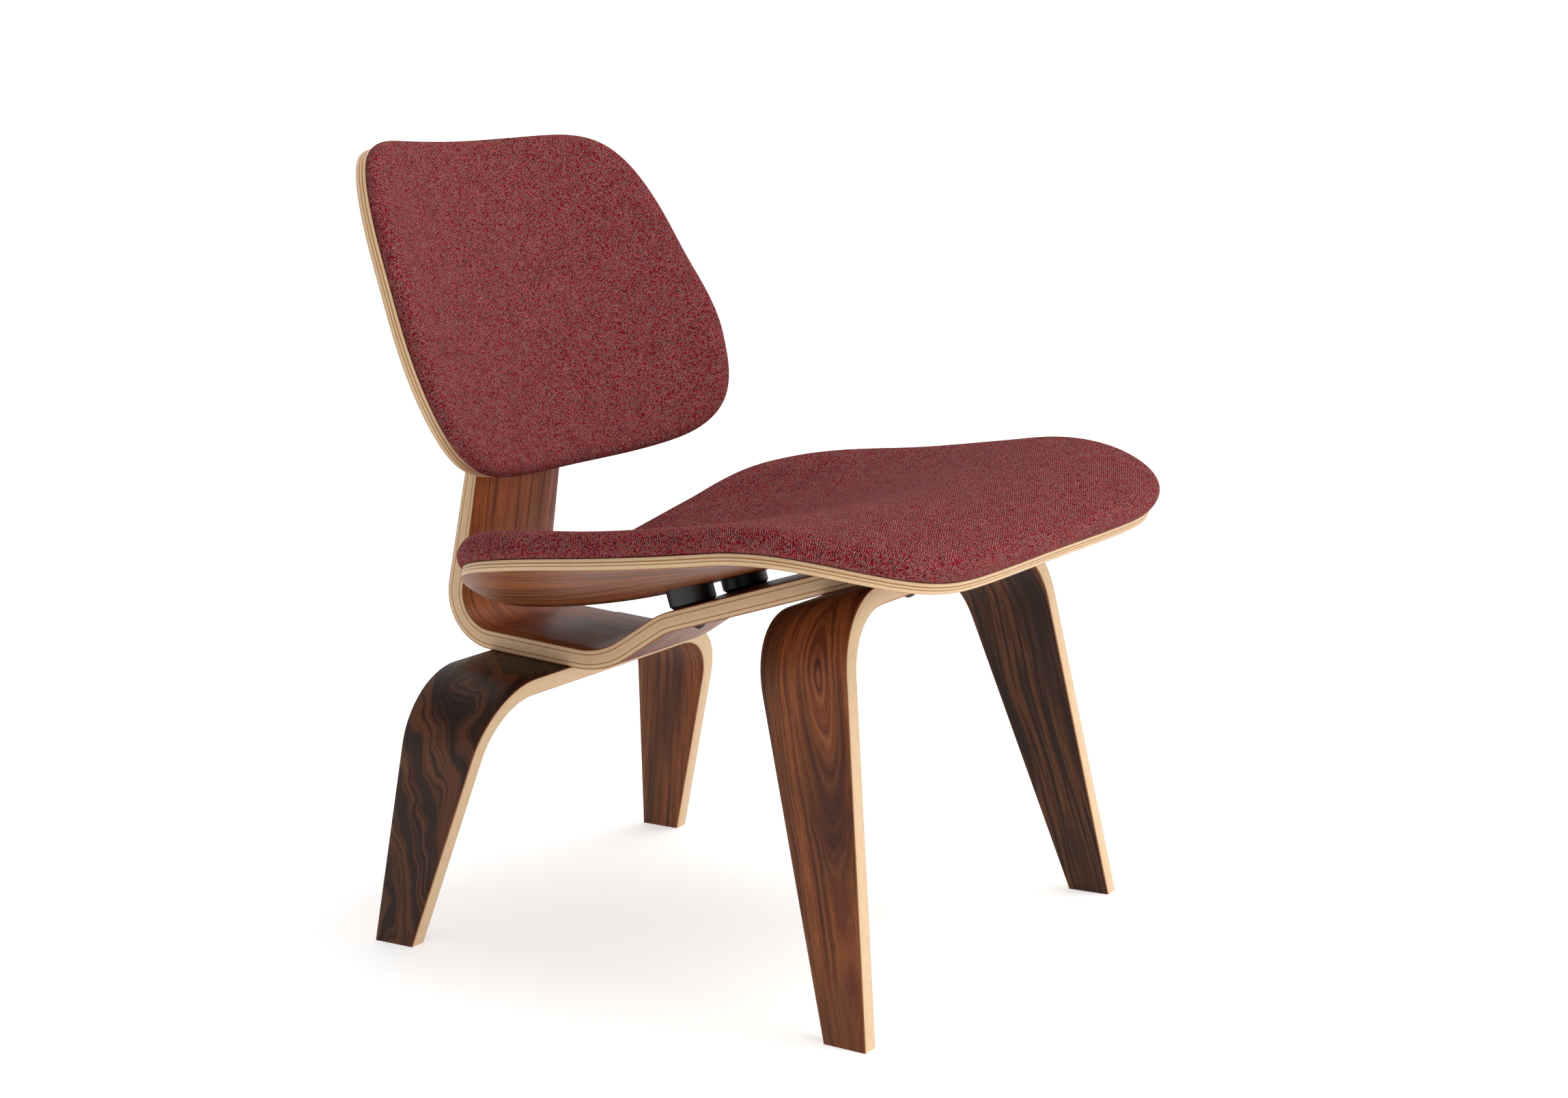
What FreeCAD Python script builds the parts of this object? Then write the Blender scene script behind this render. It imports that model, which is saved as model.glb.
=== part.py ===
"""Moulded plywood lounge chair with an upholstered seat and back.

Millimetres, +Z up, floor at Z = 0. The sitter faces -Y and X runs across the chair.
A thick plywood spine carries two bent plywood legs below and, on rubber discs,
the dished seat panel and the bowed back panel. The back gives a little on its discs.
"""
import FreeCAD
import Part
import math
import os
from BOPTools import SplitAPI
from FreeCAD import Vector

# Legs: inverted U strips, broad across the chair, tapering to the floor
leg_thickness = 15.8
leg_bend_radius = 71.0
front_foot_half_span = 234.6
front_foot_front_y = -260.0
front_foot_depth = 38.0
front_leg_splay = 0.167
front_leg_front_rake = 0.157
front_leg_back_rake = 0.318
rear_foot_half_span = 215.4
rear_foot_front_y = 190.7
rear_foot_depth = 39.4
rear_leg_splay = 0.157
rear_leg_front_rake = -0.292
rear_leg_back_rake = -0.077

# Spine: underside corners from the front end to the upper end, seen from the side
spine_thickness = 17.4
spine_upper_thickness = 12.0
spine_front_y = -200.0
spine_front_run_z = 311.1
spine_front_run_y = -122.9
spine_front_run_angle = 17.7
spine_ramp_top_y = 28.0
spine_ramp_angle = 33.96
spine_low_y = 91.2
spine_low_run_angle = 3.76
spine_heel_y = 268.3
spine_upright_lean = 10.5
spine_upper_reach = 30.0
spine_crest_radius = 60.0
spine_dip_radius = 86.0
spine_heel_radius = 49.0
spine_neck_radius = 105.0
spine_low_half_width = 68.5
spine_upper_half_width = 58.5
spine_front_half_width = 63.0
spine_end_radius = 16.0

# Seat panel: half outline in plan and a dished surface
seat_thickness = 9.5
seat_half_width = 285.0
seat_front_y = -306.0
seat_widest_y = -150.0
seat_side_y = 43.0
seat_rear_corner_x = 215.0
seat_rear_corner_y = 128.0
seat_rear_y = 193.0
seat_roll_y = -150.0
seat_roll_rate = 0.0022
seat_hollow_y = 35.0
seat_hollow_rate = 0.00072
seat_dish_lift = 30.4
seat_dish_lift_slope = 0.14
seat_dish_lift_curve = 0.00015
seat_dish_power = 1.6

# Back panel: half outline on its own plane, bowed forward at both sides
back_thickness = 9.0
back_centre_y = 242.5
back_centre_z = 536.8
back_tilt = 23.55
back_top = 139.0
back_bottom = -160.0
back_half_width = 228.0
back_widest = -74.0
back_top_corner_x = 166.0
back_bottom_corner_x = 197.0
back_bow = 0.00114
back_bow_change = 0.0007
back_curl = 0.00026

# Pads: foam in a thin cover, over the whole front face of each panel
seat_pad_edge = 21.0
seat_pad_crown = 4.0
back_pad_edge = 13.0
back_pad_crown = 5.0
pad_overhang = 1.5
pad_draw = 1.0
pad_edge_radius = 7.0
cover_wall = 1.4
soft_clearance = 0.3

# Rubber discs and their threaded inserts
mount_radius = 20.7
mount_height = 12.2
mount_edge_chamfer = 2.5
mount_half_spacing = 43.0
mount_rear_y = 9.0
mount_front_y = -150.0
back_mount_half_spacing = 33.0
back_mount_height = 12.0
back_mount_drop = -15.0
back_mount_cone = 6.0
back_mount_clearance = 0.5
insert_radius = 5.5
insert_height = 8.0

# Screws
screw_radius = 3.0
screw_head_radius = 6.4
screw_head_height = 4.2
screw_slot_width = 1.4
screw_slot_depth = 1.6
screw_hole_clearance = 0.25
screw_thread_clearance = 0.05
insert_engagement = 7.0
leg_screw_half_spacing = 40.0
leg_screw_bite = 11.0
front_leg_screw_y = -186.0
rear_leg_screw_front_y = 148.0
rear_leg_screw_back_y = 192.0

# The origin sits on the floor, midway between the front of the seat and the back's rear
origin_y = -5.9

X_AXIS = Vector(1, 0, 0)


def save(name, shape):
    shape.translate(Vector(0, -origin_y, 0))
    shape.exportStep("parts/" + name + ".step")


def group(solids):
    return Part.makeCompound(solids)


def mirrored(shape):
    return shape.mirror(Vector(0, 0, 0), X_AXIS)


def pair(shape):
    return group([shape, mirrored(shape)])


def side_direction(angle):
    """Unit vector in the YZ plane, its angle measured up from +Y."""
    turn = math.radians(angle)
    return Vector(0, math.cos(turn), math.sin(turn))


# Moulded panels

def normal_at(height, a, b):
    step = 0.5
    slope_a = (height(a + step, b) - height(a - step, b)) / (2 * step)
    slope_b = (height(a, b + step) - height(a, b - step)) / (2 * step)
    return Vector(-slope_a, -slope_b, 1).normalize()


def spread(low, high, count):
    return [low + (high - low) * i / (count - 1) for i in range(count)]


def lifted_surface(height, reach, lift):
    """Smooth surface through a grid on the panel's form, each point lifted along its normal."""
    half_a, low_b, high_b = reach
    rows = []
    for a in spread(-half_a, half_a, 11):
        row = []
        for b in spread(low_b, high_b, 11):
            row.append(Vector(a, b, height(a, b)) + normal_at(height, a, b) * lift(a, b))
        rows.append(row)
    surface = Part.BSplineSurface()
    surface.interpolate(rows)
    return surface


def border(surface):
    u0, u1, v0, v1 = surface.bounds()
    return [surface.uIso(u0), surface.uIso(u1), surface.vIso(v0), surface.vIso(v1)]


def slab(height, reach, lift_low, lift_high):
    """Solid between two lifts of the same form, wider than the panel it is trimmed to."""
    low = lifted_surface(height, reach, lift_low)
    high = lifted_surface(height, reach, lift_high)
    faces = [low.toShape(), high.toShape()]
    for low_edge, high_edge in zip(border(low), border(high)):
        faces.append(Part.makeRuledSurface(low_edge.toShape(), high_edge.toShape()))
    shell = Part.makeShell(faces)
    shell.sewShape()
    solid = Part.makeSolid(shell)
    if solid.Volume < 0:
        solid.reverse()
    return solid


def full_outline(half):
    left = [(-a, b) for a, b in reversed(half[1:-1])]
    curve = Part.BSplineCurve()
    curve.interpolate(Points=[Vector(a, b, 0) for a, b in half + left], PeriodicFlag=True)
    return curve


def rim_curve(height, outline, lift, inset):
    """Curve once round the outline, moved in by the inset and lifted off the form."""
    points = []
    samples = 36
    first = outline.FirstParameter
    last = outline.LastParameter
    for i in range(samples + 1):
        t = first + (last - first) * i / samples
        along = outline.tangent(t)[0]
        at = outline.value(t) + Vector(along.y, -along.x, 0) * inset
        foot = Vector(at.x, at.y, height(at.x, at.y))
        points.append(foot + normal_at(height, at.x, at.y) * lift)
    curve = Part.BSplineCurve()
    curve.interpolate(Points=points, Parameters=[float(i) for i in range(samples + 1)])
    return curve.toShape()


def trimmed(height, outline, reach, wall, lift_low, lift_high):
    """Slab cut to the outline by ruled walls given as lifts and insets from the panel up."""
    blank = slab(height, reach, lift_low, lift_high)
    curves = [rim_curve(height, outline, lift, inset) for lift, inset in wall]
    skin = [Part.makeRuledSurface(low, high) for low, high in zip(curves, curves[1:])]
    pieces = SplitAPI.slice(blank, skin, "Split").Solids
    middle = lift_middle(height, reach, lift_low, lift_high)
    return [piece for piece in pieces if piece.isInside(middle, 0.01, True)][0]


def lift_middle(height, reach, lift_low, lift_high):
    b = (reach[1] + reach[2]) / 2
    lift = (lift_low(0, b) + lift_high(0, b)) / 2
    return Vector(0, b, height(0, b)) + normal_at(height, 0, b) * lift


def flat_lift(value):
    return lambda a, b: value


def panel(height, outline, reach, thickness):
    square = [(-2 * thickness, 0.0), (thickness, 0.0)]
    return trimmed(height, outline, reach, square, flat_lift(-thickness), flat_lift(0.0))


def pad_wall(edge, shrink):
    """Side of a cushion: drawn in at the panel, full at mid height, rounded over to the crown."""
    radius = pad_edge_radius - shrink
    side = shrink - pad_overhang
    shoulder = edge - shrink - radius
    bend = math.radians(52)
    over = math.radians(62)
    run = 2.0 * radius
    bend_lift = shoulder + radius * math.sin(bend)
    bend_inset = side + radius * (1 - math.cos(bend))
    return [
        (-2.0 * radius, shrink + pad_draw),
        (0.0, shrink + pad_draw),
        (shoulder, side),
        (bend_lift, bend_inset),
        (bend_lift + run * math.cos(over), bend_inset + run * math.sin(over)),
    ]


def pad_form(height, outline, reach, edge, crown, low, shrink):
    """Cushion form between the panel and its crown, made smaller all round by a wall."""
    high = lambda a, b: crown(a, b) - shrink
    return trimmed(height, outline, reach, pad_wall(edge, shrink), flat_lift(low), high)


def pad_pieces(height, outline, reach, edge, crown):
    outer = pad_form(height, outline, reach, edge, crown, soft_clearance, 0.0)
    hollow = pad_form(height, outline, reach, edge, crown, -cover_wall, cover_wall)
    foam = pad_form(height, outline, reach, edge, crown, soft_clearance, cover_wall + soft_clearance)
    return foam, outer.cut(hollow)


def seat_height(x, y):
    """Upper face of the seat plywood: a falling line, rolled at the front, dished at the sides."""
    line = seat_mid_z - math.tan(math.radians(spine_front_run_angle)) * (y - mount_rear_y)
    roll = seat_roll_rate * max(seat_roll_y - y, 0.0) ** 2
    hollow = seat_hollow_rate * max(y - seat_hollow_y, 0.0) ** 2
    lift = seat_dish_lift + seat_dish_lift_slope * y + seat_dish_lift_curve * y * y
    return line - roll + hollow + lift * (abs(x) / 200.0) ** seat_dish_power


def seat_outline():
    half = [
        (0.0, seat_rear_y),
        (seat_rear_corner_x - 145.0, seat_rear_y - 5.0),
        (seat_rear_corner_x - 65.0, seat_rear_y - 30.0),
        (seat_rear_corner_x, seat_rear_corner_y),
        (seat_rear_corner_x + 32.0, seat_rear_corner_y - 38.0),
        (seat_half_width - 17.0, seat_side_y),
        (seat_half_width - 6.0, seat_widest_y + 105.0),
        (seat_half_width, seat_widest_y),
        (seat_half_width - 23.0, seat_front_y + 56.0),
        (seat_half_width - 70.0, seat_front_y + 12.0),
        (seat_half_width - 150.0, seat_front_y - 1.0),
        (0.0, seat_front_y),
    ]
    return full_outline(half)


def seat_reach():
    return (seat_half_width + 45.0, seat_front_y - 45.0, seat_rear_y + 45.0)


def seat_crown(x, y):
    middle = (seat_front_y + seat_rear_y) / 2
    half_depth = (seat_rear_y - seat_front_y) / 2
    across = 1 - (x / seat_half_width) ** 2
    along = 1 - ((y - middle) / half_depth) ** 2
    return soft_clearance + seat_pad_edge + seat_pad_crown * across * along


def back_height(u, w):
    """Front face of the back plywood: its sides and both ends come forward."""
    return back_bow * u * u * (1 + back_bow_change * w) + back_curl * w * w


def back_outline():
    half = [
        (0.0, back_top),
        (back_top_corner_x - 66.0, back_top - 2.0),
        (back_top_corner_x, back_top - 18.0),
        (back_top_corner_x + 37.0, back_top - 73.0),
        (back_half_width - 10.0, 0.0),
        (back_half_width, back_widest),
        (back_bottom_corner_x, back_bottom + 18.0),
        (back_bottom_corner_x - 80.0, back_bottom - 1.0),
        (0.0, back_bottom),
    ]
    return full_outline(half)


def back_reach():
    return (back_half_width + 45.0, back_bottom - 45.0, back_top + 45.0)


def back_crown(u, w):
    middle = (back_top + back_bottom) / 2
    half_depth = (back_top - back_bottom) / 2
    across = 1 - (u / back_half_width) ** 2
    along = 1 - ((w - middle) / half_depth) ** 2
    return soft_clearance + back_pad_edge + back_pad_crown * across * along


def on_back(shape):
    """Put a shape from the back's own plane (X across, Y up it, Z forward) into the chair."""
    place = FreeCAD.Placement()
    place.Rotation = FreeCAD.Rotation(X_AXIS, 90.0 - back_tilt)
    place.Base = Vector(0, back_centre_y, back_centre_z)
    moved = shape.copy()
    moved.Placement = place
    return moved


def back_point(u, w, forward):
    lean = math.radians(back_tilt)
    up = Vector(0, math.sin(lean), math.cos(lean))
    ahead = Vector(0, -math.cos(lean), math.sin(lean))
    return Vector(u, back_centre_y, back_centre_z) + up * w + ahead * forward


# Spine

def meet(point_a, angle_a, point_b, angle_b):
    """Crossing of two lines in the side view."""
    along_a = side_direction(angle_a)
    along_b = side_direction(angle_b)
    between = point_b - point_a
    cross = along_a.y * along_b.z - along_a.z * along_b.y
    reach = (between.y * along_b.z - between.z * along_b.y) / cross
    return point_a + along_a * reach


def run_point(y):
    """Point on the underside of the spine's front run."""
    start = Vector(0, spine_front_run_y, spine_front_run_z)
    return start + side_direction(-spine_front_run_angle) * (
        (y - spine_front_run_y) / math.cos(math.radians(spine_front_run_angle)))


def low_run_point(y):
    """Point on the underside of the spine's low run, over the rear leg."""
    fall = math.tan(math.radians(spine_ramp_angle)) * (spine_low_y - spine_ramp_top_y)
    start = run_point(spine_ramp_top_y) + Vector(0, spine_low_y - spine_ramp_top_y, -fall)
    return start + side_direction(spine_low_run_angle) * (
        (y - spine_low_y) / math.cos(math.radians(spine_low_run_angle)))


def spine_corners():
    """Corners of the underside with the thickness and the bend radius at each."""
    upper = back_point(0, spine_upper_reach, -back_thickness - back_mount_height - spine_upper_thickness)
    heel = low_run_point(spine_heel_y)
    neck = meet(heel, 90 + spine_upright_lean, upper, 90 - back_tilt)
    return [
        (run_point(spine_front_y), spine_thickness, 0.0),
        (run_point(spine_ramp_top_y), spine_thickness, spine_crest_radius),
        (low_run_point(spine_low_y), spine_thickness, spine_dip_radius),
        (heel, spine_thickness, spine_heel_radius),
        (neck, spine_upper_thickness, spine_neck_radius),
        (upper, spine_upper_thickness, 0.0),
    ]


def left_of(direction):
    return Vector(0, -direction.z, direction.y)


def inner_corners(corners):
    """The same corners on the upper face, each moved in by its thickness."""
    points = [corner[0] for corner in corners]
    moved = []
    for i, (point, thickness, radius) in enumerate(corners):
        before = (point - points[i - 1]).normalize() if i > 0 else None
        after = (points[i + 1] - point).normalize() if i < len(points) - 1 else None
        before = before or after
        after = after or before
        side = (left_of(before) + left_of(after)).normalize()
        turn_left = before.y * after.z - before.z * after.y > 0
        inner = radius - thickness if turn_left else radius + thickness
        shifted = point + side * (thickness / side.dot(left_of(after)))
        moved.append((shifted, thickness, inner if radius else 0.0))
    return moved


def rounded_edges(corners):
    """Straight runs joined by tangent arcs."""
    edges = []
    last = corners[0][0]
    for i in range(1, len(corners) - 1):
        point, thickness, radius = corners[i]
        before = (point - corners[i - 1][0]).normalize()
        after = (corners[i + 1][0] - point).normalize()
        half_turn = before.getAngle(after) / 2
        start = point - before * (radius * math.tan(half_turn))
        end = point + after * (radius * math.tan(half_turn))
        inward = (after - before).normalize()
        middle = point + inward * (radius / math.cos(half_turn) - radius)
        edges.append(Part.LineSegment(last, start).toShape())
        edges.append(Part.Arc(start, middle, end).toShape())
        last = end
    edges.append(Part.LineSegment(last, corners[-1][0]).toShape())
    return edges


def spine_blank():
    outer = spine_corners()
    inner = inner_corners(outer)
    edges = rounded_edges(outer) + rounded_edges(inner)
    edges.append(Part.LineSegment(outer[0][0], inner[0][0]).toShape())
    edges.append(Part.LineSegment(outer[-1][0], inner[-1][0]).toShape())
    face = Part.Face(Part.Wire(Part.__sortEdges__(edges)))
    width = 2 * spine_low_half_width
    face.translate(Vector(-spine_low_half_width, 0, 0))
    return face.extrude(Vector(width, 0, 0))


def prism(points, direction):
    return Part.Face(Part.makePolygon(points + points[:1])).extrude(direction)


def spine_taper():
    """Space kept by the taper of the upright and of the front run."""
    heel_z = low_run_point(spine_low_y).z
    end_z = spine_corners()[-1][0].z
    past = 60.0
    slope = (spine_low_half_width - spine_upper_half_width) / (end_z - heel_z)
    top = spine_upper_half_width - slope * past
    upright = prism([
        Vector(-spine_low_half_width, -400, heel_z), Vector(-top, -400, end_z + past),
        Vector(top, -400, end_z + past), Vector(spine_low_half_width, -400, heel_z),
        Vector(spine_low_half_width, -400, 0), Vector(-spine_low_half_width, -400, 0)], Vector(0, 900, 0))
    front = prism([
        Vector(-spine_front_half_width, spine_front_y - 1, 0), Vector(-spine_low_half_width, spine_low_y, 0),
        Vector(-spine_low_half_width, 500, 0), Vector(spine_low_half_width, 500, 0),
        Vector(spine_low_half_width, spine_low_y, 0),
        Vector(spine_front_half_width, spine_front_y - 1, 0)], Vector(0, 0, 900))
    return upright.common(front)


def short_edges_near(shape, point, length, reach):
    found = []
    for edge in shape.Edges:
        close = (edge.CenterOfMass - point).Length < reach
        if close and abs(edge.Length - length) < 0.5:
            found.append(edge)
    return found


def spine():
    body = spine_blank().common(spine_taper()).Solids[0]
    end = spine_corners()[-1][0]
    body = body.makeFillet(spine_end_radius, short_edges_near(
        body, end, spine_upper_thickness, spine_upper_half_width + 25.0))
    for hole in screw_holes():
        body = body.cut(hole)
    return body


# Legs

def leg(foot_half_span, front_y, depth, splay, front_rake, back_rake, top_point, top_angle):
    """Strip bent to an inverted U about an axis along the crossbar, then cut to its side view."""
    along = side_direction(top_angle)
    up = left_of(along)
    middle_y = front_y + depth / 2
    base = Vector(0, middle_y, 0)
    crest = (top_point - base).dot(up)
    tilt = math.atan(splay)
    centre_up = crest - leg_bend_radius
    centre_x = foot_half_span - splay * centre_up - leg_bend_radius * math.sqrt(1 + splay * splay)

    def at(x, height):
        return base + X_AXIS * x + up * height

    def half_edges(radius):
        middle = (math.pi / 2 + tilt) / 2
        start = at(centre_x, centre_up + radius)
        bend = at(centre_x + radius * math.cos(middle), centre_up + radius * math.sin(middle))
        end_x = centre_x + radius * math.cos(tilt)
        end_up = centre_up + radius * math.sin(tilt)
        end = at(end_x, end_up)
        drop = end_up + 120.0
        foot = at(end_x + drop * math.tan(tilt), end_up - drop)
        crossbar = Part.LineSegment(at(0, centre_up + radius), start).toShape()
        arc = Part.Arc(start, bend, end).toShape()
        return [crossbar, arc, Part.LineSegment(end, foot).toShape()], foot

    outer, outer_foot = half_edges(leg_bend_radius)
    inner, inner_foot = half_edges(leg_bend_radius - leg_thickness)
    half = outer + inner + [Part.LineSegment(outer_foot, inner_foot).toShape()]
    half.append(Part.LineSegment(at(0, crest), at(0, crest - leg_thickness)).toShape())
    face = Part.Face(Part.Wire(Part.__sortEdges__(half)))
    face.translate(along * -300)
    side = face.extrude(along * 600)
    strip = side.fuse(mirrored(side)).removeSplitter()
    top_z = 600.0
    back_y = front_y + depth
    view = prism([
        Vector(-400, front_y, 0), Vector(-400, back_y, 0),
        Vector(-400, back_y + back_rake * top_z, top_z),
        Vector(-400, front_y + front_rake * top_z, top_z)], Vector(800, 0, 0))
    return strip.common(view).Solids[0]


def front_leg():
    body = leg(front_foot_half_span, front_foot_front_y, front_foot_depth, front_leg_splay,
               front_leg_front_rake, front_leg_back_rake,
               run_point(spine_front_run_y), -spine_front_run_angle)
    for hole in screw_holes():
        body = body.cut(hole)
    return body


def rear_leg():
    body = leg(rear_foot_half_span, rear_foot_front_y, rear_foot_depth, rear_leg_splay,
               rear_leg_front_rake, rear_leg_back_rake,
               low_run_point(rear_leg_screw_front_y), spine_low_run_angle)
    for hole in screw_holes():
        body = body.cut(hole)
    return body


# Rubber discs, inserts and screws

def run_up():
    return left_of(side_direction(-spine_front_run_angle))


def low_run_up():
    return left_of(side_direction(spine_low_run_angle))


def back_ahead():
    return back_point(0, 0, 1) - back_point(0, 0, 0)


def seat_mount_foot(x, y):
    return run_point(y) + run_up() * spine_thickness + X_AXIS * x


def back_mount_foot(x):
    return back_point(x, back_mount_drop, -back_thickness - back_mount_height)


def chamfered_disc(foot, up, height):
    disc = Part.makeCylinder(mount_radius, height, foot, up)
    lower = min(disc.Edges, key=lambda edge: (edge.CenterOfMass - foot).Length)
    return disc.makeChamfer(mount_edge_chamfer, [lower])


def seat_above():
    """Space from the seat's underside upward, which shapes the tops of the discs."""
    return slab(seat_height, seat_reach(), flat_lift(-seat_thickness), flat_lift(40.0))


def seat_mount(x, y):
    foot = seat_mount_foot(x, y)
    disc = chamfered_disc(foot, run_up(), mount_height * 2)
    disc = disc.cut(seat_above()).Solids[0]
    return disc.cut(insert_space(foot, run_up()))


def back_mount(x):
    """Disc whose face falls away from its middle, so the back can tilt on it."""
    foot = back_mount_foot(x)
    ahead = back_ahead()
    fall = mount_radius * math.tan(math.radians(back_mount_cone))
    rear_face = back_height(x, back_mount_drop) - back_thickness
    height = rear_face + back_thickness + back_mount_height - back_mount_clearance
    disc = chamfered_disc(foot, ahead, height - fall)
    cap = Part.makeCone(mount_radius, screw_radius, fall, foot + ahead * (height - fall), ahead)
    return disc.fuse(cap).removeSplitter().cut(insert_space(foot, ahead))


def insert_space(foot, up):
    return Part.makeCylinder(insert_radius, insert_height, foot, up)


def insert(foot, up):
    bore = Part.makeCylinder(screw_radius + screw_thread_clearance, insert_height, foot, up)
    return insert_space(foot, up).cut(bore)


def screw(seat, up, length):
    """Domed, slotted screw: its head hangs below the seat point, its shank runs up."""
    across = X_AXIS
    rim = seat + across * screw_head_radius
    crown = seat - up * screw_head_height
    ball = (screw_head_radius ** 2 + screw_head_height ** 2) / (2 * screw_head_height)
    centre = crown + up * ball
    half_way = (rim - centre).normalize() + (crown - centre).normalize()
    bulge = centre + half_way.normalize() * ball
    profile = Part.Wire([
        Part.LineSegment(seat, rim).toShape(), Part.Arc(rim, bulge, crown).toShape(),
        Part.LineSegment(crown, seat).toShape()])
    head = Part.Face(profile).revolve(seat, up, 360)
    slot = Part.makeBox(2 * screw_head_radius, screw_slot_width, screw_slot_depth,
                        Vector(-screw_head_radius, -screw_slot_width / 2, 0))
    slot.Placement = FreeCAD.Placement(crown, FreeCAD.Rotation(Vector(0, 0, 1), up))
    shank = Part.makeCylinder(screw_radius, length, seat, up)
    return head.cut(slot).fuse(shank).removeSplitter()


def screw_hole(seat, up, length, clearance):
    return Part.makeCylinder(screw_radius + clearance, length, seat, up)


def rear_seat_screw():
    seat = run_point(mount_rear_y) + X_AXIS * mount_half_spacing
    return seat, run_up(), spine_thickness + insert_engagement


def front_seat_screw():
    through = leg_thickness + spine_thickness
    seat = run_point(mount_front_y) - run_up() * leg_thickness + X_AXIS * mount_half_spacing
    return seat, run_up(), through + insert_engagement


def back_screw():
    seat = back_mount_foot(back_mount_half_spacing) - back_ahead() * spine_upper_thickness
    return seat, back_ahead(), spine_upper_thickness + insert_engagement


def front_leg_screw():
    seat = run_point(front_leg_screw_y) - run_up() * leg_thickness + X_AXIS * leg_screw_half_spacing
    return seat, run_up(), leg_thickness + leg_screw_bite


def rear_leg_screws():
    found = []
    for y in (rear_leg_screw_front_y, rear_leg_screw_back_y):
        seat = low_run_point(y) - low_run_up() * leg_thickness + X_AXIS * leg_screw_half_spacing
        found.append((seat, low_run_up(), leg_thickness + leg_screw_bite))
    return found


def screw_holes():
    """Holes of every screw on both sides: free in what it clamps, close in what it bites."""
    right = []
    for seat, up, length in (rear_seat_screw(), front_seat_screw(), back_screw()):
        right.append(screw_hole(seat, up, length, screw_hole_clearance))
    for seat, up, length in [front_leg_screw()] + rear_leg_screws():
        right.append(screw_hole(seat, up, length, screw_thread_clearance))
    return right + [mirrored(hole) for hole in right]


seat_mid = seat_mount_foot(0, mount_rear_y) + run_up() * (mount_height + seat_thickness)
seat_mid_z = seat_mid.z + (seat_mid.y - mount_rear_y) * math.tan(math.radians(spine_front_run_angle))


def build():
    os.makedirs("parts", exist_ok=True)
    seat_rim = seat_outline()
    back_rim = back_outline()
    save("seat_panel", panel(seat_height, seat_rim, seat_reach(), seat_thickness))
    foam, cover = pad_pieces(seat_height, seat_rim, seat_reach(), seat_pad_edge, seat_crown)
    save("seat_foam", foam)
    save("seat_cover", cover)
    save("back_panel", on_back(panel(back_height, back_rim, back_reach(), back_thickness)))
    foam, cover = pad_pieces(back_height, back_rim, back_reach(), back_pad_edge, back_crown)
    save("back_foam", on_back(foam))
    save("back_cover", on_back(cover))
    save("spine", spine())
    save("front_leg", front_leg())
    save("rear_leg", rear_leg())
    inserts = []
    for place, y in (("front", mount_front_y), ("rear", mount_rear_y)):
        for side, x in (("right", -mount_half_spacing), ("left", mount_half_spacing)):
            save("seat_mount_" + place + "_" + side, seat_mount(x, y))
            inserts.append(insert(seat_mount_foot(x, y), run_up()))
    save("seat_inserts", group(inserts))
    inserts = []
    for side, x in (("right", -back_mount_half_spacing), ("left", back_mount_half_spacing)):
        save("back_mount_" + side, back_mount(x))
        inserts.append(insert(back_mount_foot(x), back_ahead()))
    save("back_inserts", group(inserts))
    save("seat_front_screws", pair(screw(*front_seat_screw())))
    save("seat_rear_screws", pair(screw(*rear_seat_screw())))
    save("back_screws", pair(screw(*back_screw())))
    save("front_leg_screws", pair(screw(*front_leg_screw())))
    screws = [screw(*place) for place in rear_leg_screws()]
    save("rear_leg_screws", group(screws + [mirrored(one) for one in screws]))


build()
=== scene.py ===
"""Looks of the plywood lounge chair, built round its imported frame.

The plywood strips and panels are drawn again as clean meshes that carry two maps: grain,
in metres along and across the veneer, and layers, which runs through the plies at an edge.
The pads are closed soft forms on the panels. Discs, inserts and screws keep the frame's solids.
"""
import math
from collections import namedtuple

import bpy
import numpy as np
from bpy.props import FloatProperty, FloatVectorProperty, PointerProperty
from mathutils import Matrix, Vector


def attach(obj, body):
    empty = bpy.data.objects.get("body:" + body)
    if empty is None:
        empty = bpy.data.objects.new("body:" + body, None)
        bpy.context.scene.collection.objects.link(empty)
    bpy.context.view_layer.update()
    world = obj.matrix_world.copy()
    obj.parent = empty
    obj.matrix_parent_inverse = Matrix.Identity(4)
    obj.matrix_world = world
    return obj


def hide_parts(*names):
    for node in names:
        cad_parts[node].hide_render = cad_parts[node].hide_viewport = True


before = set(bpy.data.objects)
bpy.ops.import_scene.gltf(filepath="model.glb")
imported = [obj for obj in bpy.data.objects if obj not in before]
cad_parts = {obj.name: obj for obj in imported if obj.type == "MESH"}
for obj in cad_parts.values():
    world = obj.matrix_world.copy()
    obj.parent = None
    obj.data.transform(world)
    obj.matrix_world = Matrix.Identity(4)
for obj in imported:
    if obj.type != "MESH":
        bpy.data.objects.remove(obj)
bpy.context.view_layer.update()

bl_info = {
    "name": "Plywood lounge chair",
    "version": (1, 0, 0),
    "blender": (4, 5, 0),
    "location": "View3D > Sidebar > Chair",
    "description": "Dresses the chair's frame with veneer, plywood edges, tweed pads and a studio",
    "category": "Object",
}

# Drawing values in millimetres, with X across, Y to the back and Z up from the floor.
# The frame's origin lies this far in front of the drawing's zero.
DRAWING_Y = 5.9

# Spine: corners of its underside in the side view, with the bend radius at each
SPINE_CORNERS = (
    (-200.0, 335.7, 0.0),
    (28.0, 262.9, 60.0),
    (91.2, 220.4, 86.0),
    (268.3, 232.0, 49.0),
    (231.7, 429.4, 105.0),
    (284.7, 551.1, 0.0),
)
# From this corner on the strip has its upper thickness
SPINE_NECK = 4
SPINE_END_ROUND = 16.0
SPINE_RUN_ANGLE = 17.7
SPINE_LOW_ANGLE = 3.76
SPINE_LOW_Z = 220.4

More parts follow.
